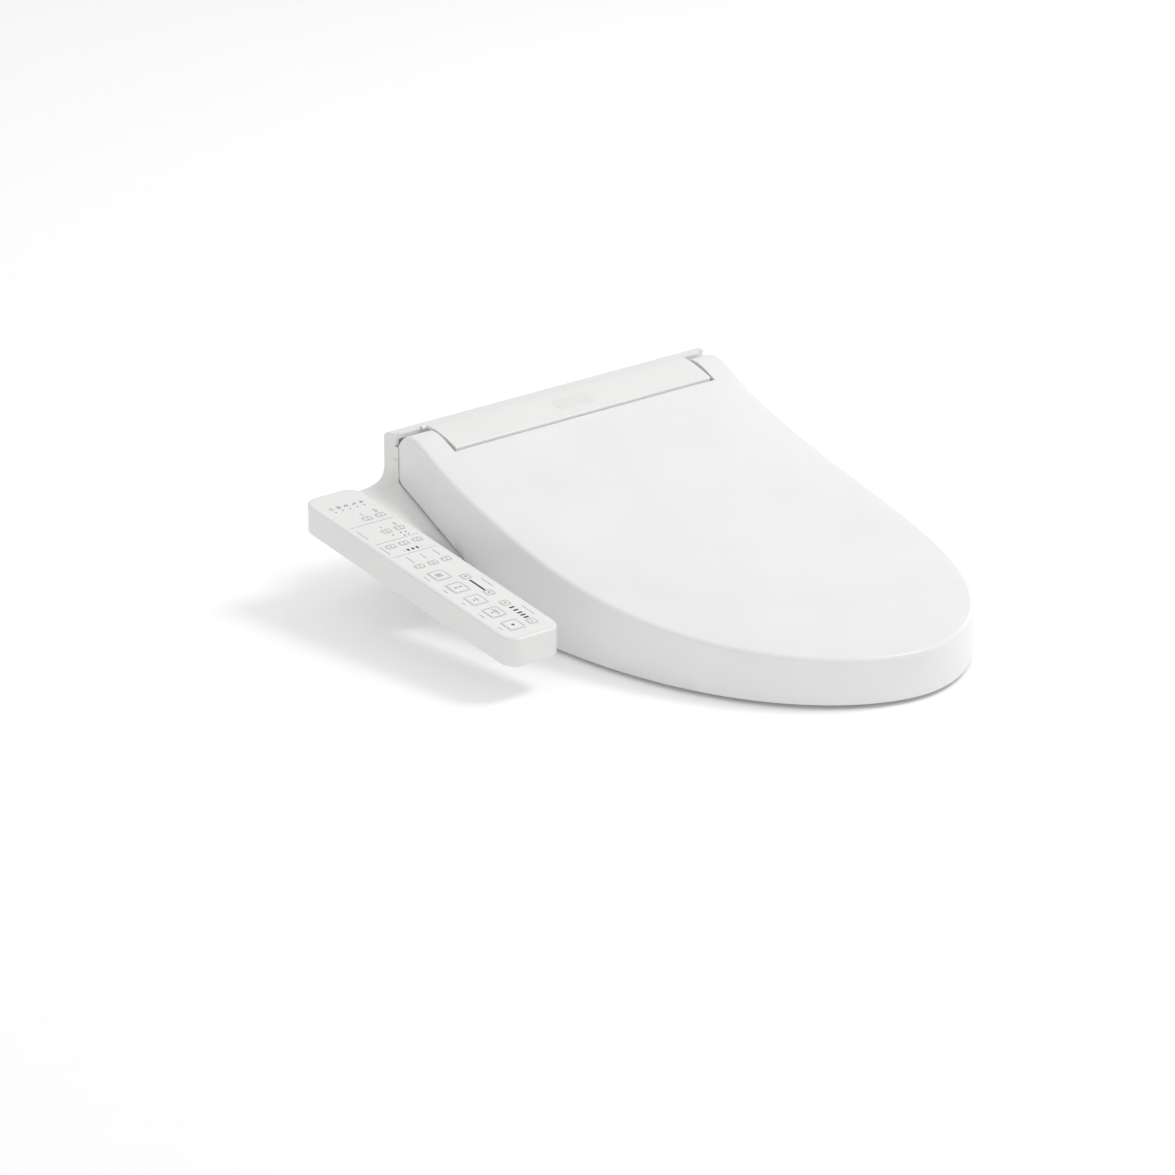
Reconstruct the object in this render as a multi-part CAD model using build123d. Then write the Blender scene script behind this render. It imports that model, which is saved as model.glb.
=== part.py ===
from build123d import *
import os
from math import acos, atan, cos, degrees, exp, log, pi, radians, sin, tan

# Electric bidet seat, millimetres, at rest with seat and lid down.
# Origin: midway between the two bowl bolts, on the plane of the bowl's rim.
# +X is the user's left when seated, +Y points back to the tank, +Z is up.

# ---- driving sizes -------------------------------------------------------
OVERALL_LENGTH = 530.0
BACK_Y = 52.0
TIP_Y = BACK_Y - OVERALL_LENGTH
LID_HALF_WIDTH = 186.0
LID_WALL = 3.5
LID_BOTTOM_Z = 4.0
LID_FRONT_Z = 49.0
LID_EDGE_R = 4.0
LID_STRAIGHT_Y = -143.0
SIDE_POWER = 1.891
FRONT_POWER = 2.368

HINGE_Y = 19.0
HINGE_Z = 124.0
HORN_R = 22.6
LID_OPEN = 106.0
SHAFT_R = 5.0
RUN = 0.05
GAP = 0.4
OPEN_GAP = 0.8

CASE_WALL = 3.0
CHEEK = 4.0
CHEEK_PROUD = 1.0
FLARE = 4.5
FLARE_Y = 38.0
HORN_WIDTH = 28.0
COVER_FRONT_Y = -8.0
FRONT_Y = -47.0
CASE_BOTTOM_Z = 14.0
SKIRT_Z = 10.0
STRIP_Y = 37.0
STRIP_BEVEL = 4.6

SEAM_PATH = [(-12.0, 22.6), (-36.0, 26.6), (-51.0, 29.2), (-66.0, 30.6), (-84.7, 32.5)]
SEAM_GAP = (1.6, 2.4)
SEAM_SLOPE = 27.0
NOSE_Y = -98.0

SEAT_INSET = 6.0
SEAT_BOTTOM_Z = 11.0
SEAT_SPLIT_Z = 17.0
SEAT_TOP_Z = 28.0
SEAT_REAR_Y = -84.0
SEAT_WALL = 3.0
OPENING_HALF_WIDTH = 105.0
OPENING_FRONT_Y = -402.0
OPENING_REAR_Y = -130.0
SEAT_ARM_WIDTH = 15.0
HUB_R = 11.0

ARM_WIDTH = 60.5
ARM_OUTER_X = -292.0
ARM_REAR_Y = 46.0
ARM_LENGTH = 301.5
ARM_SLOPE = 0.147
ARM_TOP_Z = 96.0
ARM_DEPTH = 27.0
ARM_CORNER_R = 15.0
ARM_WALL = 2.5
ARM_TOP_WALL = 3.0
ARM_PLATE = 2.5
ARM_PLATE_RIM = 3.0

OVERLAY = 0.5
OVERLAY_MARGIN = 3.5
KEY_GAP = 0.35
KEY_TRAVEL = 0.5
KEY_FLANGE = 0.6
BIG_KEY = 17.0
BIG_KEY_FIRST_Y = -129.0
BIG_KEY_PITCH = 25.9
BIG_KEY_U = -8.2
ADJUST_KEY = (9.0, 9.0)
SETTING_KEY = (10.0, 7.0)
SETTING_PITCH = 15.0
KEY_COLUMN_U = 1.8

PLATE_HALF_WIDTH = 110.0
PLATE_REAR_Y = 34.0
PLATE_FRONT_Y = -32.0
PLATE_Z = 8.0
BOLT_SPACING = 140.0
SLOT_R = 5.5
SLOT_LENGTH = 21.0
SLOT_FLOOR = 3.5

WAND_TILT = 35.0
WAND_R = 7.0
WAND_LENGTH = 98.0
WAND_TRAVEL = 75.0
WAND_MOUTH_Y = -40.0
WAND_MOUTH_Z = 23.5
GEAR_MODULE = 1.0
PINION_TEETH = 16
BACKLASH = 0.25
PINION_AT = -19.0

INLET_R = 10.48
INLET_LENGTH = 12.0
GLAND_BORE_R = 3.9

# ---- sizes that follow ---------------------------------------------------
CASE_END_X = LID_HALF_WIDTH - HORN_WIDTH - CASE_WALL - GAP - 0.1
CUT_X = LID_HALF_WIDTH - HORN_WIDTH
CHEEK_OUT = LID_HALF_WIDTH + CHEEK_PROUD
CHEEK_IN = CHEEK_OUT - CHEEK
LID_CUT_Y = COVER_FRONT_Y - 3.0
EAR = 3.0
LID_REAR_Z = HINGE_Z + 31.6
LID_CURVE_Y = BACK_Y - 20.0
LID_SAG = 30.2
LID_SKEW = 3.3
HORN_BLEND = 1.5
COVER_Z = HINGE_Z + 13.5
CREST_Z = HINGE_Z + 23.0
STRIP_Z = HINGE_Z + 21.0
HUB_X0 = CUT_X + EAR + 3.0
HUB_X1 = HUB_X0 + SEAT_ARM_WIDTH
ARM_X = ARM_OUTER_X + ARM_WIDTH / 2
ARM_INNER_X = ARM_OUTER_X + ARM_WIDTH
ARM_Y = ARM_REAR_Y - ARM_LENGTH / 2
ARM_ANGLE = degrees(atan(ARM_SLOPE))

# ---- sizes of the fittings and inner parts ------------------------------
BUMPER_POSTS = [(60.0, TIP_Y + 40), (140.0, TIP_Y + 150)]
BUMPER_TOP_Z = SEAT_TOP_Z + 8.3
DAMPER_R = 9.5
DAMPER_LENGTH = 60.0
WAND_SLOT = 12.0
DUCT_X0 = 48.0
DUCT_X1 = 92.0
DUCT_Z0 = 20.0
DUCT_Z1 = 42.0
FILTER_X0 = 118.0
FILTER_Y = (-38.0, -14.0)
FILTER_Z = (20.0, 29.0)
BUTTON_Y = (6.0, 18.0)
BUTTON_Z = (10.6, 13.4)
BUTTON_TRAVEL = 6.0
WING_FRONT_Y = -80.0
WING_SKIN = 3.0
WING_DROP = 9.0
WING_DEPTH = 24.0
WING_REAR_Z = 112.5
WING_ROOT = 2.0
CASE_SPLIT_Z = 40.0
CABLE_PORT = (-20.0, 10.0)
FILTER_SLOT_Z = (FILTER_Z[0] - GAP, FILTER_Z[1] + GAP)
BUTTON_SLOT_Z = (BUTTON_Z[0] - GAP, BUTTON_Z[1] + GAP)
RAIL_X = PLATE_HALF_WIDTH + 0.6
RAIL_LIP_Z = (1.5, 3.6)
FLANGE_Z = 4.0
FLANGE = 10.0
RIB_X = (92.0, 99.0)
INLET_X = 168.0
INLET_Y = 30.0
DRAIN_X = 168.0
DRAIN_Y = -4.0
DRAIN_R = 8.0
SCREW_R = 1.5
SCREW_HEAD_R = 2.8
INLET_PIPE_R = 5.0
GLAND_X = 140.0
GLAND_Z = 28.0
GLAND_R = 6.5
TONGUE_X = (26.0, 32.0)
TONGUE_SLOT_X = (TONGUE_X[0] - BUTTON_TRAVEL - 1, TONGUE_X[1] + 1)
ARM_TOP = Plane(
    origin=(ARM_X, ARM_Y, ARM_TOP_Z + ARM_SLOPE * ARM_Y),
    x_dir=(1, 0, 0),
    z_dir=(0, -ARM_SLOPE, 1),
)
CABLE_Z = (79.0, 85.0)
BOARD_DROP = 6.6
BOARD_THICK = 1.6
POWER_BOARD_X = (104.0, 148.0)
POWER_BOARD_Y = (-8.0, 12.0)
POWER_BOARD_Z = 19.0
LIGHT_R = 0.9
# In the wand's plane +Z runs out along the wand and +Y points up and forward.
WAND = Plane(
    origin=(0, WAND_MOUTH_Y, WAND_MOUTH_Z),
    x_dir=(1, 0, 0),
    z_dir=(0, -cos(radians(WAND_TILT)), -sin(radians(WAND_TILT))),
)
TIP_LENGTH = 16.0
RACK_PITCH_OFFSET = WAND_R + 1.3 * GEAR_MODULE
RACK_WIDTH = 6.0
PINION_R = GEAR_MODULE * PINION_TEETH / 2
PINION_V = RACK_PITCH_OFFSET + PINION_R
PRESSURE_ANGLE = 20.0
GUIDE_R = WAND_R + 0.4
FAN_R = 21.0
FAN_Y = 16.0
FAN_Z = 62.0
FAN_X = (56.0, 80.0)
FLAP_PIN_R = 1.2
FLAP_Y = FRONT_Y - 2.6
FLAP_Z = DUCT_Z1 + 4.0
TANK_X = (-140.0, -40.0)
TANK_Y = (-36.0, 42.0)
TANK_Z = (18.0, 88.0)
VALVE_X = (104.0, 128.0)
VALVE_Y = (18.0, 42.0)
VALVE_Z = (18.0, 34.0)


# ---- small helpers -------------------------------------------------------
def box(x0, x1, y0, y1, z0, z1):
    """A box between two corners."""
    size = Box(x1 - x0, y1 - y0, z1 - z0)
    return Pos((x0 + x1) / 2, (y0 + y1) / 2, (z0 + z1) / 2) * size


def side_prism(face, x0, x1):
    """A face drawn as (y, z), stood up and extruded from x0 to x1."""
    return extrude(Plane.YZ.offset(x0) * face, amount=x1 - x0, dir=(1, 0, 0))


def side_polygon(points, x0, x1):
    """A closed (y, z) polygon extruded from x0 to x1."""
    return side_prism(make_face(Polyline(*points, close=True)), x0, x1)


def x_rod(radius, x0, x1, y, z):
    """A round rod along X."""
    return Pos((x0 + x1) / 2, y, z) * Rot(0, 90, 0) * Cylinder(radius, abs(x1 - x0))


def z_rod(radius, x, y, z0, z1):
    """A round rod along Z."""
    return Pos(x, y, (z0 + z1) / 2) * Cylinder(radius, z1 - z0)


def both_sides(shape):
    """The shape and its mirror image across the centre plane."""
    return shape + mirror(shape, about=Plane.YZ)


def polar(centre_y, centre_z, radius, angle):
    """A (y, z) point at an angle from +Y round a centre."""
    return centre_y + radius * cos(radians(angle)), centre_z + radius * sin(radians(angle))


# ---- lid -----------------------------------------------------------------
def lid_top_z(y):
    """Height of the lid's top along the centre: ski-shaped, levelling off over the horns."""
    t = (LID_CURVE_Y - y) / (LID_CURVE_Y - TIP_Y)
    sag = LID_SAG * 4 * t * (1 - t) + LID_SKEW * 8 * t * (1 - t) * (1 - 2 * t)
    z = LID_REAR_Z - (LID_REAR_Z - LID_FRONT_Z) * t - sag
    return z - HORN_BLEND * log(1 + exp((z - HINGE_Z - HORN_R) / HORN_BLEND))


def bowl_face(inset, rear_y):
    """Plan outline of the lid, inset by a distance: straight sides and a long oval front."""
    half = LID_HALF_WIDTH - inset
    depth = LID_STRAIGHT_Y - TIP_Y - inset
    points = []
    for i in range(17):
        t = pi * i / 16
        side = 1 if cos(t) >= 0 else -1
        x = side * half * abs(cos(t)) ** (2 / SIDE_POWER)
        y = LID_STRAIGHT_Y - depth * abs(sin(t)) ** (2 / FRONT_POWER)
        points.append((x, y))
    front = Spline(*points, tangents=[(0, -1), (0, 1)])
    sides = Polyline((-half, LID_STRAIGHT_Y), (-half, rear_y), (half, rear_y), (half, LID_STRAIGHT_Y))
    return make_face(front + sides)


def seam_points(gap):
    """Where lid and case meet round the hinge, seen from the side; gap moves it to the case."""
    first, last = gap
    steps = len(SEAM_PATH) - 1
    grown = [(a, r + first + (last - first) * i / steps) for i, (a, r) in enumerate(SEAM_PATH)]
    return [polar(HINGE_Y, HINGE_Z, r, a) for a, r in grown]


def slope_z(gap, y):
    """Height of the seam's straight part at a depth."""
    y1, z1 = seam_points(gap)[-1]
    return z1 - (y1 - y) * tan(radians(SEAM_SLOPE))


def seam_edges(gap, nose_y):
    """The seam as edges: a bend behind the hinge, a slope and the point of a blunt nose."""
    points = seam_points(gap)
    slope = radians(SEAM_SLOPE)
    bend = Spline(*points, tangents=[(-0.1, -1), (-cos(slope), -sin(slope))])
    nose = (nose_y, slope_z(gap, nose_y))
    return bend, Line(points[-1], nose), nose


def top_points(drop, first_y, last_y):
    """Points along the lid's top curve, lowered by a drop."""
    count = 18
    ys = [first_y + (last_y - first_y) * i / count for i in range(count)]
    return [(y, lid_top_z(y) - drop) for y in ys]


def lid_profile():
    """Side view of the whole lid, filled."""
    bend, slope, nose = seam_edges((0, 0), NOSE_Y)
    turn = SEAM_PATH[0][0] - 90
    first_y = TIP_Y - 10
    top = Spline(*top_points(0, first_y, HINGE_Y - 8), (HINGE_Y, HINGE_Z + HORN_R))
    horn = CenterArc((HINGE_Y, HINGE_Z), HORN_R, 90, turn)
    rest = Polyline(nose, (NOSE_Y - 5, LID_BOTTOM_Z), (first_y, LID_BOTTOM_Z), (first_y, lid_top_z(first_y)))
    return make_face(top + horn + bend + slope + rest)


def lid_cavity_profile():
    """Side view of the space inside the lid, open below and behind the horns."""
    first_y = TIP_Y - 10
    radius = HORN_R - LID_WALL
    top = Spline(*top_points(LID_WALL, first_y, HINGE_Y - 8), (HINGE_Y, HINGE_Z + radius))
    turn = SEAM_PATH[0][0] - 92
    horn = CenterArc((HINGE_Y, HINGE_Z), radius, 90, turn)
    end_y, end_z = polar(HINGE_Y, HINGE_Z, radius, 90 + turn)
    low = LID_BOTTOM_Z - 20
    rest = Polyline(
        (end_y, end_z),
        (BACK_Y + 20, end_z),
        (BACK_Y + 20, low),
        (first_y, low),
        (first_y, lid_top_z(first_y) - LID_WALL),
    )
    return make_face(top + horn + rest)


def rim_edges(solid, above_z):
    """The long edges of the top face, where it meets the outer walls."""
    top = solid.faces().sort_by(lambda f: f.center().Z * (f.area > 20000))[-1]
    return top.edges().filter_by(lambda e: e.center().Z > above_z and e.length > 60)


def lid_shell():
    """The moulded lid: one thin shell with two hinge horns and four bumper posts."""
    wide = LID_HALF_WIDTH + 10
    block = extrude(bowl_face(0, BACK_Y), amount=HINGE_Z + 60)
    outer = block & side_prism(lid_profile(), -wide, wide)
    outer = fillet(rim_edges(outer, LID_BOTTOM_Z + 20), LID_EDGE_R)
    hollow = Pos(0, 0, -20) * extrude(bowl_face(LID_WALL, BACK_Y + 10), amount=HINGE_Z + 80)
    hollow = hollow & side_prism(lid_cavity_profile(), -wide, wide)
    ear = Pos(0, HINGE_Y, HINGE_Z) * Rot(0, 90, 0) * Cylinder(15, 2 * wide)
    ear += box(-wide, wide, LID_CUT_Y - 14, HINGE_Y + 12, HINGE_Z - 2, HINGE_Z + 40)
    ear = ear & outer & both_sides(box(CUT_X, CUT_X + EAR, -100, BACK_Y, 0, 200))
    shell = outer - hollow
    shell -= box(-CUT_X, CUT_X, LID_CUT_Y, BACK_Y + 20, -10, 300)
    shell += ear
    for x, y in BUMPER_POSTS:
        post = z_rod(5.0, x, y, BUMPER_TOP_Z, lid_top_z(y) - LID_WALL + 1.0)
        shell += both_sides(post)
    shell -= x_rod(SHAFT_R + RUN, -CUT_X - EAR - 1, -CUT_X + 1, HINGE_Y, HINGE_Z)
    shell -= x_rod(SHAFT_R, CUT_X - 1, CUT_X + EAR + 1, HINGE_Y, HINGE_Z)
    return shell


def lid_bumpers():
    """Four rubber buttons on the ends of the lid's posts."""
    group = Part()
    for x, y in BUMPER_POSTS:
        pad = z_rod(8.0, x, y, SEAT_TOP_Z + 0.3, BUMPER_TOP_Z)
        pad = fillet(pad.edges().group_by(Axis.Z)[0], 2.0)
        group += both_sides(pad)
    return group


# ---- seat ----------------------------------------------------------------
def opening_face(grow):
    """Plan outline of the hole in the seat: an oval, longer to the front."""
    middle = (OPENING_FRONT_Y + 2 * OPENING_REAR_Y) / 3
    half = OPENING_HALF_WIDTH + grow
    points = []
    for i in range(24):
        t = 2 * pi * i / 24
        reach = OPENING_REAR_Y - middle if sin(t) > 0 else middle - OPENING_FRONT_Y
        points.append((half * cos(t), middle + (reach + grow) * sin(t)))
    return make_face(Spline(*points, periodic=True))


def seat_ring(inset, z0, z1):
    """The seat's ring between two heights, inset from both its edges."""
    ring = extrude(bowl_face(SEAT_INSET + inset, SEAT_REAR_Y - inset), amount=z1 - z0)
    ring -= extrude(opening_face(inset), amount=z1 - z0)
    return Pos(0, 0, z0) * ring


def seat_arms():
    """Two arms from the ring's rear corners up to the hinge hubs."""
    foot_y = SEAT_REAR_Y - 14
    points = [
        (foot_y, SEAT_SPLIT_Z),
        (foot_y, SEAT_TOP_Z - 1),
        (SEAT_REAR_Y - 2, SEAT_TOP_Z - 1),
        (HINGE_Y - 6, HINGE_Z + 4),
        (HINGE_Y + 1, HINGE_Z - 8),
        (HINGE_Y - 13.5, HINGE_Z - 18.6),
        (SEAT_REAR_Y + 6, SEAT_SPLIT_Z),
    ]
    arm = side_polygon(points, HUB_X0, HUB_X1)
    arm += x_rod(HUB_R, HUB_X0, HUB_X1, HINGE_Y, HINGE_Z)
    return both_sides(arm)


def seat_top():
    """Upper half of the seat, hollow for the heater, with its hinge arms."""
    ring = seat_ring(0, SEAT_SPLIT_Z, SEAT_TOP_Z)
    upper = ring.edges().group_by(Axis.Z)[-1]
    ring = fillet(upper, 6.0)
    ring -= seat_ring(SEAT_WALL, SEAT_SPLIT_Z, SEAT_TOP_Z - SEAT_WALL)
    arms = seat_arms() - seat_ring(SEAT_WALL, SEAT_SPLIT_Z, SEAT_TOP_Z - SEAT_WALL)
    ring += arms
    ring -= x_rod(SHAFT_R, -HUB_X1 - 1, -HUB_X0 + 1, HINGE_Y, HINGE_Z)
    ring -= x_rod(SHAFT_R + RUN, HUB_X0 - 1, HUB_X1 + 1, HINGE_Y, HINGE_Z)
    return ring


def seat_bottom():
    """Lower half of the seat: a shallow tray welded under the top."""
    tray = seat_ring(0, SEAT_BOTTOM_Z, SEAT_SPLIT_Z)
    tray = fillet(tray.edges().group_by(Axis.Z)[0], 2.5)
    return tray - seat_ring(SEAT_WALL, SEAT_BOTTOM_Z + SEAT_WALL, SEAT_SPLIT_Z)


def seat_heater():
    """Foil heater stuck under the seat's skin."""
    return seat_ring(SEAT_WALL + 4, SEAT_TOP_Z - SEAT_WALL - 0.6, SEAT_TOP_Z - SEAT_WALL)


def seat_bumpers():
    """Four rubber feet that carry the seat on the rim."""
    foot = extrude(RectangleRounded(16, 34, 6), amount=SEAT_BOTTOM_Z)
    foot = fillet(foot.edges().group_by(Axis.Z)[0], 2.0)
    side_x = (LID_HALF_WIDTH + OPENING_HALF_WIDTH) / 2
    rear = Pos(side_x, SEAT_REAR_Y - 60, 0) * foot
    front = Pos(side_x - 42, OPENING_FRONT_Y + 22, 0) * Rot(0, 0, -40) * foot
    return both_sides(rear) + both_sides(front)


# ---- hinge shafts and dampers --------------------------------------------


def damper(side):
    """Soft-close damper: an oil-filled barrel fixed to the case's end wall."""
    x0 = side * (CASE_END_X - CASE_WALL - 0.1)
    x1 = x0 - side * DAMPER_LENGTH
    barrel = x_rod(DAMPER_R, x0, x1, HINGE_Y, HINGE_Z)
    return barrel - x_rod(SHAFT_R + RUN, x0, x0 - side * 24, HINGE_Y, HINGE_Z)


def hinge_dampers():
    """The seat's damper on one side and the lid's on the other."""
    return damper(-1) + damper(1)


def hinge_shaft(side):
    """Steel shaft from the damper through the lid's ear into the seat's hub."""
    inner = side * (CASE_END_X - CASE_WALL - 22)
    shaft = x_rod(SHAFT_R, inner, side * HUB_X1, HINGE_Y, HINGE_Z)
    return chamfer(shaft.edges().filter_by(GeomType.CIRCLE), 0.6)


# ---- case ----------------------------------------------------------------
def cover_curve(drop):
    """Side view of the case's visible top, rising to a crest behind the lid."""
    return [
        (COVER_FRONT_Y + drop, COVER_Z - drop * 0.9),
        (HINGE_Y - 14, COVER_Z + 4.6 - drop),
        (HINGE_Y, COVER_Z + 8.2 - drop),
        (HINGE_Y + 10, CREST_Z - drop),
        (STRIP_Y, CREST_Z - 0.4 - drop),
    ]


def top_cover():
    """The plate between the horns, rounded over at its front edge."""
    outer, inner = cover_curve(0), cover_curve(CASE_WALL)
    lip_z = COVER_Z - 7.5
    lines = Polyline(outer[-1], inner[-1])
    lip = Polyline(inner[0], (inner[0][0], lip_z), (outer[0][0], lip_z), outer[0])
    face = make_face(Spline(*outer) + lines + Spline(*inner) + lip)
    plate = side_prism(face, -CASE_END_X, CASE_END_X)
    front = plate.edges().filter_by(Axis.X).sort_by(lambda e: e.center().Y - e.center().Z)[0]
    return fillet(front, 2.0) - label_plate_block()


def label_plate_block():
    """Room for the small plate set into the middle of the cover."""
    tilt = Plane(origin=(0, HINGE_Y - 9, COVER_Z + 6.2), x_dir=(1, 0, 0), z_dir=(0, -0.28, 1))
    return tilt * extrude(RectangleRounded(42, 16, 1.5), amount=1.2, both=True)


def label_plate():
    """A thin blank plate, flush with the cover."""
    skin = [(y, z + 0.15) for y, z in cover_curve(0)]
    low = [(y, z - 1.0) for y, z in cover_curve(0)]
    ends = Polyline(skin[-1], low[-1]) + Polyline(low[0], skin[0])
    band = side_prism(make_face(Spline(*skin) + ends + Spline(*low)), -40, 40)
    return label_plate_block() & band


def front_panel():
    """The wall that faces the bowl under the lid, with the wand's mouth and the dryer's outlet."""
    knee_z = HINGE_Z - 16
    lip_z = COVER_Z - 7.6
    points = [
        (COVER_FRONT_Y, lip_z),
        (FRONT_Y + 5, knee_z + 5),
        (FRONT_Y, knee_z),
        (FRONT_Y, SKIRT_Z),
        (FRONT_Y + CASE_WALL, SKIRT_Z),
        (FRONT_Y + CASE_WALL, knee_z - 1.5),
        (FRONT_Y + 6.5, knee_z + 2.2),
        (COVER_FRONT_Y + CASE_WALL, lip_z),
    ]
    edge = CASE_END_X - CASE_WALL - 0.1
    wall = side_polygon(points, -edge, edge)
    wall += flap_ears()
    wall -= box(-WAND_SLOT, WAND_SLOT, FRONT_Y - 5, FRONT_Y + 5, SKIRT_Z - 1, WAND_MOUTH_Z + 10.5)
    return wall - box(DUCT_X0, DUCT_X1, FRONT_Y - 5, FRONT_Y + 5, DUCT_Z0, DUCT_Z1)


def cheek(side):
    """Side plate of the case in line with the lid's side, bounded by the seam."""
    nose_y = NOSE_Y + SEAM_GAP[1]
    bend, slope, nose = seam_edges(SEAM_GAP, nose_y)
    radius = HORN_R + SEAM_GAP[0]
    front = STRIP_Y + 0.3
    rise = degrees(acos((front - HINGE_Y) / radius))
    upper = CenterArc((HINGE_Y, HINGE_Z), radius, rise, SEAM_PATH[0][0] - rise)
    top = [(front, HINGE_Z + radius * sin(radians(rise))), (front, STRIP_Z - 1.5)]
    frame = Polyline(nose, (nose_y, SKIRT_Z), (BACK_Y, SKIRT_Z), (BACK_Y, STRIP_Z - 3.5), *reversed(top))
    face = make_face(upper + bend + slope + frame)
    return side_prism(face, min(side * CHEEK_IN, side * CHEEK_OUT), max(side * CHEEK_IN, side * CHEEK_OUT))


def case_plan():
    """Plan of the case's rear end: its sides flare out behind the lid."""
    half = CHEEK_OUT + FLARE
    points = [(CHEEK_OUT, STRIP_Y), (CHEEK_OUT, FLARE_Y), (half, BACK_Y)]
    mirrored = [(-x, y) for x, y in reversed(points)]
    return make_face(Polyline(*points, *mirrored, close=True))


def flare(side):
    """The wedge that widens the case towards its back."""
    wedge = extrude(case_plan(), amount=STRIP_Z - 3.5 - SKIRT_Z)
    outside = box(CHEEK_OUT - 0.5, CHEEK_OUT + FLARE + 1, STRIP_Y, BACK_Y, 0, STRIP_Z)
    wedge = Pos(0, 0, SKIRT_Z) * wedge
    return wedge & (outside if side > 0 else mirror(outside, about=Plane.YZ))


def arm_top_z(y):
    """Height of the arm's sloping top plane."""
    return ARM_TOP_Z + ARM_SLOPE * y


def wing_start(y):
    """Inner edge of the bridge at a depth: on the seam beside the lid, on the case's side behind it."""
    points = seam_points(SEAM_GAP)[1:]
    x = -CHEEK_OUT - FLARE * max(0.0, (y - FLARE_Y) / (BACK_Y - FLARE_Y))
    if y <= points[-1][0]:
        return x, slope_z(SEAM_GAP, y)
    if y >= points[0][0]:
        return x, WING_REAR_Z
    for (y1, z1), (y0, z0) in zip(points, points[1:]):
        if y0 <= y <= y1:
            return x, z0 + (z1 - z0) * (y - y0) / (y1 - y0)


def wing_section(y, inset, root=0.0):
    """Cross-section of the bridge from inside the case's side to the control arm."""
    outer_z = arm_top_z(min(y, ARM_REAR_Y - 2)) - WING_DROP
    x_in, inner_z = wing_start(y)
    x_out = ARM_INNER_X
    width = x_in - x_out
    rise = inner_z - outer_z
    steep = rise > 0
    reach = (0.035, 0.17) if steep else (0.30, 0.62)
    lift = (0.24, 0.02) if steep else (0.85, 0.12)
    bend = [
        (x_in, inner_z - inset),
        (x_in - reach[0] * width, outer_z + lift[0] * rise - inset),
        (x_in - reach[1] * width, outer_z + lift[1] * rise - inset),
        (x_out, outer_z - inset),
    ]
    low = WING_DEPTH - 2 * inset
    frame = [
        bend[-1],
        (x_out, outer_z - inset - low),
        (x_in + root, min(inner_z, outer_z) - inset - low),
        (x_in + root, inner_z - inset),
    ]
    frame = Polyline(*frame, bend[0]) if root else Polyline(*frame)
    section = make_face(Bezier(*bend) + frame)
    return Plane(origin=(0, y, 0), x_dir=(1, 0, 0), z_dir=(0, -1, 0)) * section


def wing():
    """The concave bridge from the case to the arm, hollow for the cable."""
    bends = [y for y, z in seam_points(SEAM_GAP)[1:]]
    stations = [BACK_Y, *bends, 8.0, -10.0, -30.0, -50.0, -65.0, WING_FRONT_Y]
    skin = loft([wing_section(y, 0, WING_ROOT) for y in stations], ruled=True)
    stations[0] = BACK_Y - WING_SKIN
    stations[-1] = WING_FRONT_Y + WING_SKIN
    return skin - loft([wing_section(y, WING_SKIN) for y in stations], ruled=True)


def shoulder(side):
    """Low skin under a lid horn, clear of the seat's arm, with its own bit of front wall."""
    rear_z = HINGE_Z - 20
    outer = [(FRONT_Y, 36.0), (HINGE_Y, HINGE_Z - 42), (HINGE_Y + 22, HINGE_Z - 26)]
    outer.append((BACK_Y - CASE_WALL, rear_z))
    inner = [(y, z - CASE_WALL * 1.2) for y, z in reversed(outer)]
    skin = [(FRONT_Y, SKIRT_Z), *outer, *inner[:-1]]
    skin += [(FRONT_Y + CASE_WALL, inner[-1][1] + 1.5), (FRONT_Y + CASE_WALL, SKIRT_Z)]
    x0, x1 = CASE_END_X, CHEEK_IN
    return side_polygon(skin, min(side * x0, side * x1), max(side * x0, side * x1))


def end_wall(side):
    """Inner wall of the case at one end: it carries the hinge shaft."""
    drop = CASE_WALL + 0.7
    under = cover_curve(drop)
    knee_z = HINGE_Z - 16
    points = [
        (COVER_FRONT_Y + CASE_WALL + 0.2, COVER_Z - 7.6),
        (COVER_FRONT_Y + 0.1, COVER_Z - 7.6),
        (FRONT_Y + 5, knee_z + 5),
        (FRONT_Y, knee_z),
        (FRONT_Y, CASE_BOTTOM_Z + CASE_WALL),
        (BACK_Y - CASE_WALL, CASE_BOTTOM_Z + CASE_WALL),
        (BACK_Y - CASE_WALL, CREST_Z - 8),
        *reversed(under),
    ]
    x1 = side * CASE_END_X
    x0 = x1 - side * CASE_WALL
    return side_polygon(points, min(x0, x1), max(x0, x1))


def rear_strip():
    """The band across the back behind the lid, with a bevelled front edge."""
    points = [
        (STRIP_Y + 0.3, HINGE_Z + 15),
        (STRIP_Y + 0.3, STRIP_Z - 1.2),
        (STRIP_Y + 2.3, STRIP_Z + 0.6),
        (BACK_Y - 3, STRIP_Z),
        (BACK_Y, STRIP_Z - 3),
        (BACK_Y, CASE_SPLIT_Z),
        (BACK_Y - CASE_WALL, CASE_SPLIT_Z),
        (BACK_Y - CASE_WALL, HINGE_Z + 15),
    ]
    band = side_polygon(points, -CHEEK_OUT - FLARE, CHEEK_OUT + FLARE)
    return band & (Pos(0, 0, CASE_BOTTOM_Z) * extrude(case_plan(), amount=STRIP_Z))


def strip_bevel(side):
    """The sloping face along the strip over a horn."""
    y, z = STRIP_Y, HINGE_Z + 15
    wedge = [(y - 1, z), (y + 0.3, z), (y + STRIP_BEVEL, STRIP_Z + 1), (y - 1, STRIP_Z + 1)]
    return side_polygon(wedge, min(side * CUT_X, side * CHEEK_IN), max(side * CUT_X, side * CHEEK_IN))


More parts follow.
